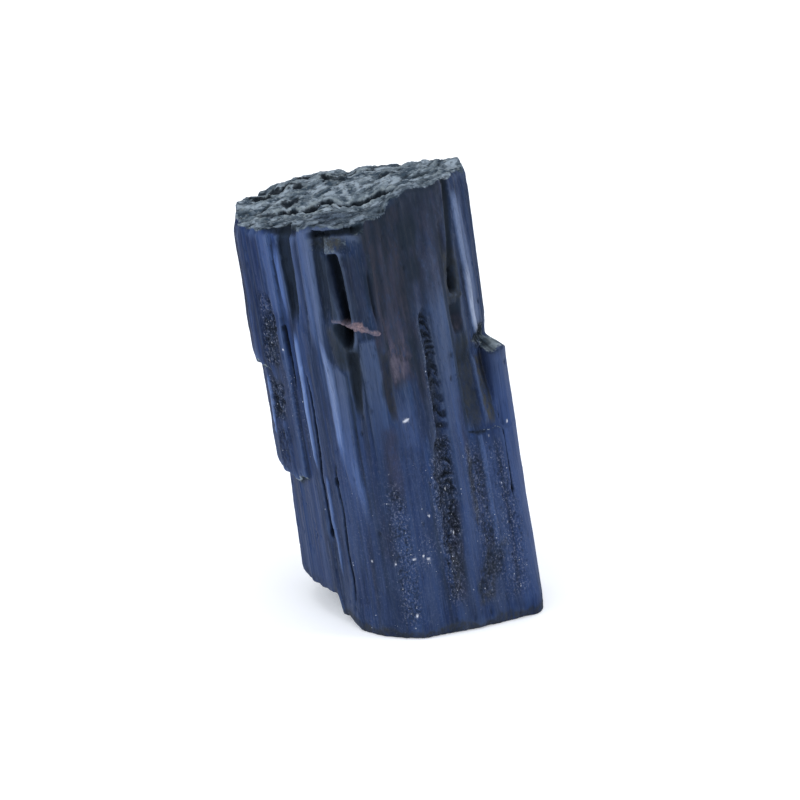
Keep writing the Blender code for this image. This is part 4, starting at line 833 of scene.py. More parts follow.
# rolled lower edge
bevel_h = 0.80 + 0.35 * noise3(CX[0] * 0.5, CY[0] * 0.5, 1.0, 231) + 0.18 * noise3(CX[0] * 2.2, CY[0] * 2.2, 1.0, 232)
bevel_d = 0.26 + 0.10 * noise3(CX[0] * 0.5, CY[0] * 0.5, 5.0, 233)
sharp_foot = 1 - smooth(ell, 5.0, 6.5) * (1 - smooth(ell, 50.0, 51.5))          # the chipped corner keeps its edge
bevel_d = bevel_d * (1 - 0.75 * sharp_foot) * (1 - 0.85 * np.exp(-((ell - 26.0) / 1.6) ** 2)) * (1 - 0.6 * smooth(ell, 6.0, 7.0) * (1 - smooth(ell, 11.0, 14.0)))
u = np.clip((T2 - foot_t[None, :]) / bevel_h[None, :], 0, 1)
D = D - bevel_d[None, :] * (1 - u) ** 1.2
u = np.clip((T2 - foot_t[None, :]) / 0.16, 0, 1)
D = D - 0.08 * (1 - np.sqrt(np.clip(1 - (1 - u) ** 2, 0, 1)))
# band along the rolled lower edge: olive tint, pale grit, and painted shade where it faces down
bevel_band = (1 - smooth(T2 - foot_t[None, :] - bevel_h[None, :], -0.1, 0.15)) * (1 - 0.7 * sharp_foot[None, :])
olive = np.maximum(olive, 0.75 * bevel_band)
recess_shade = np.maximum(recess_shade, 0.30 * bevel_band)
frac = np.maximum(frac, 0.30 * bevel_band)
X = P + D[..., None] * N

# ------------------------------------------- rows spread evenly along the relief
ROWS = int(36.0 / (0.095))
slope = np.gradient(D, tt, axis=0)
weight = np.sqrt(1 + np.clip(slope, -9, 9) ** 2)
weight = blur(blur(weight, 0.35 / STEP_L, 1, True), 0.15 / STEP_T, 0, False)
cum = np.concatenate([np.zeros((1, COLS)), np.cumsum(0.5 * (weight[1:] + weight[:-1]) * (tt[1] - tt[0]), 0)])
new_t = np.empty((ROWS, COLS))
for i in range(COLS):
    c0 = np.interp(foot_t[i], tt, cum[:, i])
    c1 = np.interp(top_t[i], tt, cum[:, i])
    new_t[:, i] = np.interp(np.linspace(c0, c1, ROWS), cum[:, i], tt)

pos = (new_t - T_LO) / (tt[1] - tt[0])
k0 = np.clip(pos.astype(int), 0, ROWS0 - 2)
kf = pos - k0
cols = np.broadcast_to(np.arange(COLS)[None], k0.shape)


def resample(a):
    f = kf if a.ndim == 2 else kf[..., None]
    return a[k0, cols] * (1 - f) + a[k0 + 1, cols] * f


Xs = resample(X)
Ns = resample(N)
Ds = resample(D)
masks = {k: resample(v) for k, v in dict(frac=frac, recess_shade=recess_shade, stain=stain, olive=olive, speck=speck, streak_highlight=streak_highlight, fibre=fibre, glint=glint, tone=tone, shade=light - deep).items()}
# painted highlight on the crests of the relief, painted shade in its hollows; the top of the right ledge is lifted
# towards highlight
relief_shading = resample(D - blur(blur(D, 0.30 / STEP_L, 1, True), 0.45 / STEP_T, 0, False) + 0.14 * ledge1 * (1 - smooth(crush, 0.0, 0.2)))

p, q, t = Xs[..., 0], Xs[..., 1], new_t
# granular breakup of the broken surfaces
g = np.clip(masks["frac"] + 0.35 * masks["fibre"], 0, 1)
edge_fade = np.minimum(1, np.minimum(np.arange(ROWS), np.arange(ROWS)[::-1]) / 3.0)[:, None]
amp = g * edge_fade
p = p + amp * 0.085 * noise3(p * 3.4, q * 3.4, t * 3.4, 241) + amp * 0.04 * noise3(p * 8, q * 8, t * 8, 244)
q = q + amp * 0.085 * noise3(p * 3.4, q * 3.4, t * 3.4, 242) + amp * 0.04 * noise3(p * 8, q * 8, t * 8, 245)
t = t + amp * 0.085 * noise3(p * 3.4, q * 3.4, t * 3.4, 243) + amp * 0.04 * noise3(p * 8, q * 8, t * 8, 246)

# ----------------------------------------------------------------- the two caps
GRID = 0.115


def cap(rim_p, rim_q, height):
    """Rings inside the rim, then an even field of points, triangulated."""
    rim = np.stack([rim_p, rim_q], -1)
    soft = blur(rim, 0.5 / STEP_L, 0, True)
    tang = np.roll(soft, -1, 0) - np.roll(soft, 1, 0)
    tang = blur(tang, 0.8 / STEP_L, 0, True)
    tang /= np.linalg.norm(tang, axis=1, keepdims=True)
    inward = np.stack([tang[:, 1], -tang[:, 0]], -1)
    rings = [rim]
    for k, depth in enumerate((0.10, 0.21, 0.34, 0.50)):
        f = (k + 1) / 4
        rings.append(rim * (1 - f) + soft * f + inward * depth)
    step = max(1, int(round(0.13 / STEP_L)))
    inner = rings[-1]
    lo, hi = inner.min(0), inner.max(0)
    gp, gq = np.meshgrid(np.arange(lo[0], hi[0], GRID), np.arange(lo[1], hi[1], GRID * 0.87))
    gp = gp + (np.arange(gp.shape[0]) % 2)[:, None] * GRID * 0.5
    gp = gp + 0.25 * GRID * noise3(gp * 7.7, gq * 7.7, 0.0, 251)
    gq = gq + 0.25 * GRID * noise3(gp * 7.7, gq * 7.7, 0.0, 252)
    pts = np.stack([gp.ravel(), gq.ravel()], -1)
    # inside test with a margin, against a slightly shrunk ring
    ring_in = soft + inward * (0.50 + GRID * 0.8)
    keep = np.zeros(len(pts), bool)
    x0, y0 = ring_in[:, 0], ring_in[:, 1]
    x1, y1 = np.roll(x0, -1), np.roll(y0, -1)
    for s in range(0, len(pts), 4000):
        b = pts[s:s + 4000]
        cross = ((y0[None] > b[:, 1:2]) != (y1[None] > b[:, 1:2]))
        xi = x0 + (b[:, 1:2] - y0) / np.where(y1 == y0, 1e-12, y1 - y0) * (x1 - x0)
        keep[s:s + 4000] = (cross & (b[:, 0:1] < xi)).sum(1) % 2 == 1
    pts = pts[keep]
    n = len(inner)
    verts2 = [Vector(v) for v in np.concatenate([inner, pts])]
    edges = [(i, (i + 1) % n) for i in range(n)]
    out = delaunay_2d_cdt(verts2, edges, [], 1, 1e-7)
    v_out, f_out, orig = out[0], out[2], out[3]
    if len(v_out) != len(verts2):
        raise RuntimeError("cap outline crosses itself")
    order = np.array([o[0] for o in orig])
    tri = order[np.array([list(f) for f in f_out])]
    return rings[1:], pts, tri


ver_p, ver_q, ver_t = [p.ravel()], [q.ravel()], [t.ravel()]
side_count = ROWS * COLS
faces4 = []
i0 = np.arange(COLS)
i1 = (i0 + 1) % COLS
for j in range(ROWS - 1):
    faces4.append(np.stack([j * COLS + i0, (j + 1) * COLS + i0, (j + 1) * COLS + i1, j * COLS + i1], -1))
faces4 = np.concatenate(faces4)
tris = []
count = side_count
region = [np.zeros(side_count)]


def add_cap(rim_start, rim_p, rim_q, height, mark, flip):
    global count, faces4
    rings, pts, tri = cap(rim_p, rim_q, height)
    prev = rim_start + np.arange(COLS)
    for ring in rings:
        cur = count + np.arange(COLS)
        ver_p.append(ring[:, 0])
        ver_q.append(ring[:, 1])
        ver_t.append(height(ring[:, 0], ring[:, 1]))
        region.append(np.full(COLS, mark))
        quad = np.stack([prev, cur, np.roll(cur, -1), np.roll(prev, -1)], -1)
        faces4 = np.concatenate([faces4, quad[:, ::-1] if flip else quad])
        prev = cur
        count += COLS
    ver_p.append(pts[:, 0])
    ver_q.append(pts[:, 1])
    ver_t.append(height(pts[:, 0], pts[:, 1]))
    region.append(np.full(len(pts), mark))
    lookup = np.concatenate([prev, count + np.arange(len(pts))])
    count += len(pts)
    idx = lookup[tri]
    # orientation
    a, b, c = (np.concatenate([np.stack([ver_p_all(x), ver_q_all(x)], -1)]) for x in (idx[:, 0], idx[:, 1], idx[:, 2]))
    area = (b[:, 0] - a[:, 0]) * (c[:, 1] - a[:, 1]) - (b[:, 1] - a[:, 1]) * (c[:, 0] - a[:, 0])
    wrong = area > 0 if mark > 0 else area < 0
    idx[wrong] = idx[wrong][:, ::-1]
    tris.append(idx)


def ver_p_all(x):
    return np.concatenate(ver_p)[x]


def ver_q_all(x):
    return np.concatenate(ver_q)[x]


add_cap((ROWS - 1) * COLS, p[-1], q[-1], break_height, 1.0, False)
add_cap(0, p[0], q[0], foot_height, -1.0, True)

vp, vq, vt = (np.concatenate(v) for v in (ver_p, ver_q, ver_t))
world = to_world(vp, vq, vt)
world[:, 2] = np.maximum(world[:, 2], 0.0)
tris = np.concatenate(tris)
region = np.concatenate(region)
extra = count - side_count


def with_caps(side, top, foot=0.0):
    rest = np.where(region[side_count:] > 0, top, foot)
    return np.concatenate([side.ravel(), rest])


attr = {
    "frac": with_caps(masks["frac"], 1.0, 0.8),
    "recess_shade": with_caps(masks["recess_shade"], 0.0, 0.1),
    "stain": with_caps(masks["stain"], 0.0, 0.15),
    "olive": with_caps(masks["olive"], 0.0, 0.4),
    "speck": with_caps(masks["speck"], 0.15, 0.3),
    "streak_highlight": with_caps(masks["streak_highlight"], 0.0, 0.0),
    "fibre": with_caps(masks["fibre"], 0.0, 0.0),
    "glint": with_caps(masks["glint"], 0.0, 0.0),
    "tone": with_caps(masks["tone"], 0.0, 0.0),
    "shade": with_caps(masks["shade"], 0.0, 0.0),
    "relief_shading": with_caps(np.clip(relief_shading * 4, -1, 1), 0.0, 0.0),
}
# hollows of the upper break: painted shade in them, painted highlight on the bumps between
ht = vt[side_count:][region[side_count:] > 0]
hp = vp[side_count:][region[side_count:] > 0]
hq = vq[side_count:][region[side_count:] > 0]
near_by = sum(break_height(hp + dx, hq + dy) for dx, dy in ((0.45, 0), (-0.45, 0), (0, 0.45), (0, -0.45), (0.3, 0.3), (-0.3, -0.3))) / 6
hollow = np.clip((near_by - ht) * 4.0, -1, 1)
top_ids = side_count + np.nonzero(region[side_count:] > 0)[0]
attr["relief_shading"][top_ids] = -hollow
# painted shade in the hollows, deeper pits and step crack of the upper break
attr["recess_shade"][top_ids] = np.maximum(np.clip((near_by - ht - 0.06) * 7.0, 0, 1), break_shade(hp, hq))

faces4 = faces4[:, ::-1]           # outward
fan = np.concatenate([faces4[:, [0, 1, 2]], faces4[:, [0, 2, 3]], tris])
inside_volume = np.einsum("ij,ij->i", world[fan[:, 0]], np.cross(world[fan[:, 1]], world[fan[:, 2]])).sum() / 6
print("volume inside the surface, mm3:", round(float(inside_volume), 1))
if inside_volume < 0:
    raise RuntimeError("faces point inward")

mesh = bpy.data.meshes.new("crystal_surface")
nf4, nf3 = len(faces4), len(tris)
mesh.vertices.add(len(world))
mesh.vertices.foreach_set("co", (world * MM).astype(np.float32).ravel())
loops = np.concatenate([faces4.ravel(), tris.ravel()]).astype(np.int32)
mesh.loops.add(len(loops))
mesh.loops.foreach_set("vertex_index", loops)
starts = np.concatenate([np.arange(nf4) * 4, nf4 * 4 + np.arange(nf3) * 3]).astype(np.int32)
mesh.polygons.add(nf4 + nf3)
mesh.polygons.foreach_set("loop_start", starts)
mesh.update(calc_edges=True)
mesh.validate()
for name, values in attr.items():
    a = mesh.attributes.new(name, "FLOAT", "POINT")
    a.data.foreach_set("value", values.astype(np.float32))
a = mesh.attributes.new("crys", "FLOAT_VECTOR", "POINT")
a.data.foreach_set("vector", np.stack([vp, vq, vt], -1).astype(np.float32).ravel())
a = mesh.attributes.new("region", "FLOAT", "POINT")
a.data.foreach_set("value", region.astype(np.float32))

crystal = bpy.data.objects.new("crystal_surface", mesh)
bpy.context.scene.collection.objects.link(crystal)
total = 2 * nf4 + nf3
print("full mesh triangles", total, "side", 2 * (ROWS - 1) * COLS)
LIMIT = 192000
if total > LIMIT:
    mod = crystal.modifiers.new("thin_out", "DECIMATE")
    mod.decimate_type = "COLLAPSE"
    mod.ratio = LIMIT / total
    dg = bpy.context.evaluated_depsgraph_get()
    thin = bpy.data.meshes.new_from_object(crystal.evaluated_get(dg), preserve_all_data_layers=True, depsgraph=dg)
    crystal.modifiers.clear()
    old = crystal.data
    crystal.data = thin
    bpy.data.meshes.remove(old)
    mesh = thin
mesh.name = "crystal_surface"
mesh.shade_smooth()
print("final mesh polygons", len(mesh.polygons))

# --------------------------------------------------------------- UV layout
nv = len(mesh.vertices)
crys = np.empty(nv * 3, np.float32)
mesh.attributes["crys"].data.foreach_get("vector", crys)
crys = crys.reshape(-1, 3)
reg = np.empty(nv, np.float32)
mesh.attributes["region"].data.foreach_get("value", reg)
centre = np.array([-1.2, 1.4])
mean_pts = np.stack([np.interp(np.linspace(0, ROUND, 721)[:-1], ARC, np.append(MEAN[:, k], MEAN[0, k])) for k in (0, 1)], -1)
ang = np.unwrap(np.arctan2(mean_pts[:, 1] - centre[1], mean_pts[:, 0] - centre[0]))
turn = (ang[0] - ang) / (2 * np.pi)          # runs 0 to 1 round the prism
arc_u = np.arange(720) / 720
va = np.arctan2(crys[:, 1] - centre[1], crys[:, 0] - centre[0])
frac_turn = np.mod((ang[0] - va) / (2 * np.pi), 1.0)
u_side = np.interp(frac_turn, np.append(turn, 1.0), np.append(arc_u, 1.0))
nl = len(mesh.loops)
lv = np.empty(nl, np.int32)
mesh.loops.foreach_get("vertex_index", lv)
ls = np.empty(len(mesh.polygons), np.int32)
lt = np.empty(len(mesh.polygons), np.int32)
mesh.polygons.foreach_get("loop_start", ls)
mesh.polygons.foreach_get("loop_total", lt)
poly_of = np.repeat(np.arange(len(ls)), lt)
mean_reg = np.bincount(poly_of, reg[lv]) / lt
cap_side = np.where(mean_reg > 0.25, 1, np.where(mean_reg < -0.25, -1, 0))[poly_of]
lu = u_side[lv]
big = np.zeros(len(ls))
np.maximum.at(big, poly_of, lu)
lu = np.where((big[poly_of] > 0.75) & (lu < 0.25), lu + 1.0, lu)
scale = 0.985 / ROUND
uv = np.empty((nl, 2), np.float32)
uv[:, 0] = 0.006 + lu * 0.985
uv[:, 1] = 0.006 + (crys[lv, 2] + 1.5) * 0.0166
cs = 0.0195
m = cap_side == 1
uv[m, 0] = 0.27 + (crys[lv[m], 0] + 1.2) * cs
uv[m, 1] = 0.82 + (crys[lv[m], 1] - 1.4) * cs
m = cap_side == -1
uv[m, 0] = 0.75 + (crys[lv[m], 0] + 1.2) * cs
uv[m, 1] = 0.82 + (crys[lv[m], 1] - 1.4) * cs
layer = mesh.uv_layers.new(name="OFBake")
layer.data.foreach_set("uv", uv.ravel())
mesh.uv_layers.active = layer


# -------------------------------------------------------------------- material
def material():
    mat = bpy.data.materials.new("black_tourmaline")
    mat.use_nodes = True
    nt = mat.node_tree
    nt.nodes.clear()
    out = nt.nodes.new("ShaderNodeOutputMaterial")
    bsdf = nt.nodes.new("ShaderNodeBsdfPrincipled")
    nt.links.new(bsdf.outputs[0], out.inputs[0])
    bsdf.inputs["IOR"].default_value = 1.60
    bsdf.inputs["Specular Tint"].default_value = (0.50, 0.72, 1.0, 1.0)
    bsdf.inputs["Specular IOR Level"].default_value = 0.20

    def node(kind, **props):
        n = nt.nodes.new(kind)
        for k, v in props.items():
            setattr(n, k, v)
        return n

    def attribute(name, vector=False):
        n = node("ShaderNodeAttribute", attribute_name=name)
        return n.outputs["Vector"] if vector else n.outputs["Fac"]

    def math_node(op, a, b=None, c=None, clamp=False):
        n = node("ShaderNodeMath", operation=op, use_clamp=clamp)
        for i, v in enumerate((a, b, c)):
            if v is None:
                continue
            if isinstance(v, (int, float)):
                n.inputs[i].default_value = v
            else:
                nt.links.new(v, n.inputs[i])
        return n.outputs[0]

    def ramp(value, stops, interp="LINEAR"):
        n = node("ShaderNodeValToRGB")
        cr = n.color_ramp
        cr.interpolation = interp
        while len(cr.elements) < len(stops):
            cr.elements.new(0.5)
        for e, (pos_, col) in zip(cr.elements, stops):
            e.position = pos_
            e.color = (*col, 1.0) if len(col) == 3 else col
        nt.links.new(value, n.inputs[0])
        return n.outputs[0]

    def gray(value, lo, hi):
        n = node("ShaderNodeMapRange", clamp=True)
        n.inputs[1].default_value = lo
        n.inputs[2].default_value = hi
        nt.links.new(value, n.inputs[0])
        return n.outputs[0]

    def mix(fac, a, b, blend="MIX"):
        n = node("ShaderNodeMix", data_type="RGBA", blend_type=blend)
        for sock, v in ((n.inputs[0], fac), (n.inputs[6], a), (n.inputs[7], b)):
            if isinstance(v, (int, float)):
                sock.default_value = v
            elif isinstance(v, tuple):
                sock.default_value = (*v, 1.0)
            else:
                nt.links.new(v, sock)
        return n.outputs[2]

    crys_v = attribute("crys", True)

    def mapping(scale):
        n = node("ShaderNodeMapping")
        n.inputs["Scale"].default_value = scale
        nt.links.new(crys_v, n.inputs["Vector"])
        return n.outputs[0]

    def noise_tex(scale_vec, scale=1.0, detail=3.0, rough=0.55, distortion=0.0):
        n = node("ShaderNodeTexNoise")
        nt.links.new(mapping(scale_vec), n.inputs["Vector"])
        n.inputs["Scale"].default_value = scale
        n.inputs["Detail"].default_value = detail
        n.inputs["Roughness"].default_value = rough
        n.inputs["Distortion"].default_value = distortion
        return n.outputs["Fac"]

    def voronoi(scale_vec, feature="F1"):
        n = node("ShaderNodeTexVoronoi", feature=feature)
        nt.links.new(mapping(scale_vec), n.inputs["Vector"])
        n.inputs["Scale"].default_value = 1.0
        return n

    frac_m, recess_shade_m, stain_m = attribute("frac"), attribute("recess_shade"), attribute("stain")
    olive_m, speck_m, streak_highlight_m = attribute("olive"), attribute("speck"), attribute("streak_highlight")
    fibre_m, relief_shading_m, glint_m, tone_m = attribute("fibre"), attribute("relief_shading"), attribute("glint"), attribute("tone")
    shade_m = attribute("shade")

    streak = noise_tex((1.1, 1.1, 0.05), 1.0, 4.0, 0.6)
    streak_fine = noise_tex((5.5, 5.5, 0.16), 1.0, 3.0, 0.6)
    cloud = noise_tex((0.45, 0.45, 0.30), 1.0, 4.0, 0.6)
    mottle = noise_tex((3.2, 3.2, 1.4), 1.0, 4.0, 0.65)

    blue = ramp(streak, [(0.30, (0.0050, 0.0110, 0.040)), (0.48, (0.0085, 0.0200, 0.072)), (0.62, (0.0125, 0.029, 0.096)), (0.78, (0.019, 0.042, 0.122))])
    blue = mix(gray(streak_fine, 0.35, 0.70), mix(1.0, blue, (0.60, 0.64, 0.70), "MULTIPLY"), blue)
    tone_lo = math_node("MULTIPLY", gray(tone_m, 0.0, -0.75), 0.55)
    tone_hi = math_node("MULTIPLY", gray(tone_m, 0.05, 0.80), 0.42)
    blue = mix(tone_lo, blue, (0.0020, 0.0045, 0.015))
    blue = mix(tone_hi, blue, (0.026, 0.056, 0.150))
    blue = mix(gray(shade_m, 0.0, 1.0), blue, (0.050, 0.080, 0.190))
    # painted highlight along the bright streaks, whiter where the mask runs above 1
    blue = mix(math_node("MULTIPLY", streak_highlight_m, gray(streak_fine, 0.05, 0.45), None, True), blue, (0.090, 0.140, 0.300))
    blue = mix(math_node("MULTIPLY", gray(streak_highlight_m, 0.9, 1.8), gray(streak_fine, 0.10, 0.50)), blue, (0.30, 0.38, 0.60))
    # painted highlight on the edges of the striations, painted shade in their hollows
    blue = mix(math_node("MULTIPLY", gray(relief_shading_m, 0.08, 0.60), 0.8), blue, (0.060, 0.090, 0.180))
    blue = mix(math_node("MULTIPLY", gray(relief_shading_m, -0.05, -0.50), 0.75), blue, (0.004, 0.006, 0.014))
    # hair-fine lines along the prism
    hairs = noise_tex((15.0, 15.0, 0.20), 1.0, 2.0, 0.6)
    blue = mix(math_node("MULTIPLY", gray(hairs, 0.56, 0.68), 0.42), blue, (0.070, 0.092, 0.160))
    blue = mix(math_node("MULTIPLY", gray(hairs, 0.42, 0.30), 0.55), blue, (0.003, 0.005, 0.013))
    # weathering film
    xyz = node("ShaderNodeSeparateXYZ")
    nt.links.new(crys_v, xyz.inputs[0])
    low = math_node("MULTIPLY", gray(xyz.outputs[2], 24.0, 8.0), gray(noise_tex((0.9, 0.9, 0.10), 1.0, 4.0, 0.65), 0.40, 0.62))
    blue = mix(math_node("MULTIPLY", low, 0.40), blue, (0.048, 0.066, 0.126))
    purer = math_node("MAXIMUM", gray(xyz.outputs[2], 23.0, 16.0), gray(xyz.outputs[0], -4.5, -7.0))
    blue = mix(purer, blue, mix(1.0, blue, (0.80, 0.92, 1.07), "MULTIPLY"))
    greyer = math_node("MULTIPLY", gray(xyz.outputs[2], 18.0, 24.0), gray(xyz.outputs[0], -6.0, -3.5))
    blue = mix(greyer, blue, mix(1.0, blue, (1.04, 0.97, 0.86), "MULTIPLY"))
    film = math_node("MULTIPLY", gray(mottle, 0.48, 0.78), 0.24)
    col = mix(film, blue, (0.034, 0.050, 0.092))
    stain_f = math_node("MULTIPLY", stain_m, gray(mottle, 0.15, 0.48))
    stain_col = ramp(cloud, [(0.35, (0.0140, 0.0116, 0.0180)), (0.65, (0.0340, 0.0280, 0.0395))])
    stain_col = mix(gray(streak, 0.60, 0.40), stain_col, mix(1.0, stain_col, (0.55, 0.56, 0.64), "MULTIPLY"))
    stain_col = mix(gray(math_node("ADD", stain_m, math_node("MULTIPLY", math_node("SUBTRACT", mottle, 0.5), 0.30)), 0.68, 1.0), stain_col, ramp(mottle, [(0.35, (0.046, 0.041, 0.062)), (0.65, (0.092, 0.083, 0.115))]))
    blotch = noise_tex((1.5, 1.5, 0.34), 1.0, 4.0, 0.6)
    stain_col = mix(math_node("MULTIPLY", gray(blotch, 0.52, 0.39), 0.88), stain_col, (0.0056, 0.0088, 0.0108))
    stain_col = mix(math_node("MULTIPLY", gray(blotch, 0.56, 0.70), 0.45), stain_col, (0.060, 0.056, 0.078))
    stain_col = mix(math_node("MULTIPLY", tone_lo, 0.8), stain_col, (0.009, 0.008, 0.013))
    stain_col = mix(math_node("MULTIPLY", tone_hi, 0.8), stain_col, (0.055, 0.050, 0.085))
    stain_col = mix(gray(xyz.outputs[2], 26.5, 29.5), stain_col, mix(1.0, stain_col, (0.66, 0.60, 0.50), "MULTIPLY"))
    col = mix(stain_f, col, stain_col)
    olive_f = math_node("MULTIPLY", olive_m, gray(mottle, 0.30, 0.62))
    col = mix(olive_f, col, ramp(cloud, [(0.35, (0.020, 0.023, 0.022)), (0.65, (0.056, 0.056, 0.050))]))

    col = mix(math_node("MULTIPLY", gray(shade_m, 0.0, -1.0), 0.94), col, (0.0042, 0.0078, 0.0155))

    # sparkling rough strips: salt and pepper finer than the relief
    salt = noise_tex((6.5, 6.5, 5.0), 1.0, 3.0, 0.75)
    rough_f = math_node("MULTIPLY", speck_m, 0.90, None, True)
    col = mix(math_node("MULTIPLY", rough_f, math_node("MULTIPLY", gray(salt, 0.49, 0.38), 0.85)), col, (0.006, 0.009, 0.018))
    col = mix(math_node("MULTIPLY", rough_f, math_node("MULTIPLY", gray(salt, 0.53, 0.66), 0.90)), col, (0.165, 0.185, 0.265))
    # painted shade in furrows, cracks and pits
    col = mix(math_node("MULTIPLY", recess_shade_m, 0.90), col, (0.0025, 0.0035, 0.006))

    # granular breaks
    v1 = voronoi((4.6, 4.6, 4.6))
    grit = noise_tex((5.5, 5.5, 5.5), 1.0, 4.0, 0.65)
    big = noise_tex((0.62, 0.62, 0.62), 1.0, 3.0, 0.55)
    grain_col = ramp(grit, [(0.28, (0.058, 0.078, 0.100)), (0.50, (0.092, 0.122, 0.155)), (0.74, (0.145, 0.182, 0.220))])
    grain_col = mix(gray(big, 0.42, 0.54), mix(1.0, grain_col, (0.28, 0.34, 0.40), "MULTIPLY"), grain_col)
    grain_col = mix(math_node("MULTIPLY", gray(noise_tex((0.95, 0.95, 0.95), 1.0, 4.0, 0.6), 0.50, 0.60), 0.72), grain_col, (0.300, 0.365, 0.440))
    cell = node("ShaderNodeSeparateColor")
    nt.links.new(v1.outputs["Color"], cell.inputs[0])
    grain_col = mix(math_node("MULTIPLY", gray(cell.outputs[0], 0.84, 0.92), 0.35), grain_col, (0.26, 0.30, 0.32))
    grain_col = mix(math_node("MULTIPLY", gray(cell.outputs[1], 0.84, 0.92), 0.5), grain_col, (0.025, 0.032, 0.040))
    # painted highlight on the bumps of the breaks, painted shade in their hollows
    grain_col = mix(math_node("MULTIPLY", gray(relief_shading_m, 0.05, 0.7), 0.55), grain_col, (0.25, 0.30, 0.33))
    grain_col = mix(math_node("MULTIPLY", gray(relief_shading_m, -0.02, -0.50), 0.90), grain_col, (0.010, 0.015, 0.020))
    near_rim = math_node("MAXIMUM", gray(xyz.outputs[1], 2.0, 5.0), gray(math_node("ADD", xyz.outputs[1], math_node("MULTIPLY", xyz.outputs[0], 0.9)), 3.0, 6.0))
    near_rim = math_node("MULTIPLY", near_rim, math_node("MULTIPLY", gray(xyz.outputs[2], 30.0, 33.0), gray(xyz.outputs[0], 5.5, 3.5)))
    near_rim = math_node("MULTIPLY", near_rim, math_node("ADD", 0.55, math_node("MULTIPLY", gray(noise_tex((0.75, 0.75, 0.75), 1.0, 3.0, 0.6), 0.56, 0.44), 0.45)))
    grain_col = mix(near_rim, grain_col, mix(1.0, grain_col, (0.44, 0.47, 0.52), "MULTIPLY"))
    # dark smudge on the front of the upper break
    off_p = math_node("MULTIPLY", math_node("ADD", xyz.outputs[0], 2.7), 0.62)
    off_q = math_node("MULTIPLY", math_node("SUBTRACT", xyz.outputs[1], 5.2), 0.42)
    off = math_node("ADD", math_node("MULTIPLY", off_p, off_p), math_node("MULTIPLY", off_q, off_q))
    off = math_node("ADD", off, math_node("MULTIPLY", math_node("SUBTRACT", grit, 0.5), 1.6))
    smudge = math_node("MULTIPLY", gray(off, 1.15, 0.35), gray(xyz.outputs[2], 30.0, 33.0))
    grain_col = mix(smudge, grain_col, mix(1.0, grain_col, (0.40, 0.44, 0.50), "MULTIPLY"))
    # painted shade in the pits and the crack of the breaks
    grain_col = mix(math_node("MULTIPLY", recess_shade_m, 0.92), grain_col, (0.005, 0.007, 0.010))
    edge_break = math_node("ADD", frac_m, math_node("MULTIPLY", math_node("SUBTRACT", grit, 0.5), 0.9))
    frac_f = math_node("MULTIPLY", gray(edge_break, 0.40, 0.62), math_node("MINIMUM", math_node("MULTIPLY", frac_m, 4.0), 1.0))
    col = mix(frac_f, col, grain_col)
    col = mix(math_node("MULTIPLY", fibre_m, 0.92), col, ramp(grit, [(0.3, (0.075, 0.055, 0.070)), (0.5, (0.16, 0.115, 0.13)), (0.72, (0.33, 0.22, 0.23))]))

    # pale specks of dust and mica
    vs = voronoi((5.6, 5.6, 5.0))
    sc = node("ShaderNodeSeparateColor")
    nt.links.new(vs.outputs["Color"], sc.inputs[0])
    chosen = math_node("LESS_THAN", sc.outputs[0], math_node("MULTIPLY", speck_m, 0.40))
    size = math_node("MULTIPLY", math_node("POWER", sc.outputs[1], 4.0), 0.24)
    dot = math_node("LESS_THAN", vs.outputs["Distance"], math_node("ADD", size, 0.09))
    bright = math_node("ADD", 0.22, math_node("MULTIPLY", math_node("POWER", sc.outputs[2], 2.0), 0.75))
    spark = math_node("MULTIPLY", math_node("MULTIPLY", chosen, dot), bright)
    col = mix(spark, col, (0.50, 0.55, 0.66))
    # painted glints on the bright flakes
    col = mix(glint_m, col, (0.72, 0.76, 0.86))
    nt.links.new(col, bsdf.inputs["Base Color"])

    flank = gray(math_node("ABSOLUTE", math_node("ADD", xyz.outputs[0], 0.7)), 6.6, 8.8)     # the flanks are dull, the front glossier
    rough = math_node("ADD", 0.40, math_node("MULTIPLY", gray(streak_fine, 0.3, 0.7), 0.12))
    rough = math_node("ADD", rough, math_node("MULTIPLY", flank, 0.26))
    rough = math_node("SUBTRACT", rough, math_node("MULTIPLY", streak_highlight_m, 0.07))
    rough = math_node("ADD", rough, math_node("MULTIPLY", film, 0.4))
    rough = math_node("ADD", rough, math_node("MULTIPLY", math_node("MAXIMUM", stain_f, olive_f), 0.30))
    rough = math_node("ADD", rough, math_node("MULTIPLY", frac_f, 0.34), None)
    rough = math_node("ADD", rough, math_node("MULTIPLY", recess_shade_m, 0.25), None, True)
    nt.links.new(rough, bsdf.inputs["Roughness"])

    # relief finer than the mesh
    line1 = noise_tex((9.0, 9.0, 0.12), 1.0, 3.0, 0.6)
    line2 = noise_tex((22.0, 22.0, 0.35), 1.0, 2.0, 0.6)
    micro = noise_tex((14.0, 14.0, 9.0), 1.0, 3.0, 0.6)
    h_side = math_node("ADD", math_node("MULTIPLY", line1, 0.7), math_node("MULTIPLY", line2, 0.35))
    h_side = math_node("ADD", h_side, math_node("MULTIPLY", micro, math_node("ADD", 0.08, math_node("MULTIPLY", math_node("MAXIMUM", speck_m, olive_m), 0.8))))
    h_break = math_node("ADD", math_node("MULTIPLY", grit, 1.7), math_node("MULTIPLY", v1.outputs["Distance"], 0.9))
    hm = node("ShaderNodeMix", data_type="FLOAT")
    nt.links.new(frac_f, hm.inputs[0])
    nt.links.new(h_side, hm.inputs[2])
    nt.links.new(h_break, hm.inputs[3])
    bump = node("ShaderNodeBump")
    bump.inputs["Strength"].default_value = 0.55
    bump.inputs["Distance"].default_value = 0.00006
    nt.links.new(hm.outputs[0], bump.inputs["Height"])
    nt.links.new(bump.outputs[0], bsdf.inputs["Normal"])
    return mat


mesh.materials.clear()
mesh.materials.append(material())
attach(crystal, "root")
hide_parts(NODE)

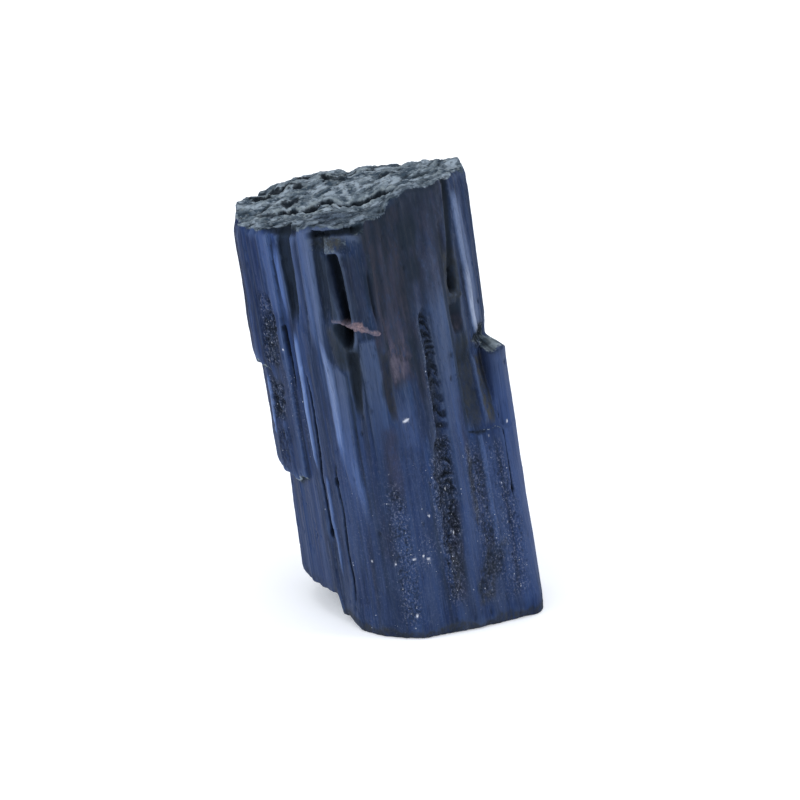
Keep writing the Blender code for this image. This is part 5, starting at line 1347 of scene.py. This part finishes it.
# ------------------------------------------------------------ floor, light, camera
floor_mesh = bpy.data.meshes.new("floor")
R = 3.0
floor_mesh.from_pydata([(-R, -R, 0), (R, -R, 0), (R, R, 0), (-R, R, 0)], [], [(0, 1, 2, 3)])
floor = bpy.data.objects.new("floor", floor_mesh)
bpy.context.scene.collection.objects.link(floor)
floor.location = (0, 0, -0.00002)
fm = bpy.data.materials.new("pale_floor")
fm.use_nodes = True
fb = fm.node_tree.nodes["Principled BSDF"]
fb.inputs["Base Color"].default_value = (0.86, 0.90, 0.97, 1)
fb.inputs["Emission Color"].default_value = (1.0, 1.0, 1.0, 1)
fb.inputs["Emission Strength"].default_value = 0.22
fb.inputs["Roughness"].default_value = 0.6
fb.inputs["Specular IOR Level"].default_value = 0.2
floor_mesh.materials.append(fm)

scene = bpy.context.scene
world_bg = bpy.data.worlds.new("soft_white")
scene.world = world_bg
world_bg.use_nodes = True
bg = world_bg.node_tree.nodes["Background"]
bg.inputs[0].default_value = (1.0, 1.0, 1.0, 1)
bg.inputs[1].default_value = 0.62

TARGET = Vector((0.0, 0.0, 0.018))


def lamp(name, az, el, dist, size_x, size_y, power, colour=(1, 1, 1)):
    """Soft box at an azimuth (0 = towards the camera, positive to the right) and elevation, aimed at the crystal."""
    a, e = math.radians(az), math.radians(el)
    loc = TARGET + dist * Vector((math.sin(a) * math.cos(e), -math.cos(a) * math.cos(e), math.sin(e)))
    data = bpy.data.lights.new(name, "AREA")
    data.shape = "RECTANGLE"
    data.size, data.size_y = size_x, size_y
    data.energy = power
    data.color = colour
    obj = bpy.data.objects.new(name, data)
    obj.location = loc
    obj.rotation_euler = (TARGET - loc).to_track_quat("-Z", "Y").to_euler()
    scene.collection.objects.link(obj)
    return obj


lamp("softbox_left", -68, 36, 0.45, 0.14, 0.30, 0.75)
lamp("softbox_right", 80, 30, 0.45, 0.10, 0.30, 0.45)
lamp("softbox_top", 0, 80, 0.70, 0.60, 0.60, 2.2)

scene.view_settings.view_transform = "Standard"
scene.view_settings.look = "None"
scene.view_settings.exposure = 0.0

ELEV, FOV, DIST = 21.5, 12.5, 0.2922
LOOK = Vector((0.839, -3.033, 19.0)) * MM
e = math.radians(ELEV)
fwd = Vector((0.0, math.cos(e), -math.sin(e)))
cam_data = bpy.data.cameras.new("view")
cam_data.sensor_fit = "HORIZONTAL"
cam_data.angle = math.radians(FOV)
cam_data.clip_start = 0.01
cam = bpy.data.objects.new("view", cam_data)
cam.location = LOOK - fwd * DIST
cam.rotation_euler = fwd.to_track_quat("-Z", "Y").to_euler()
scene.collection.objects.link(cam)
scene.camera = cam
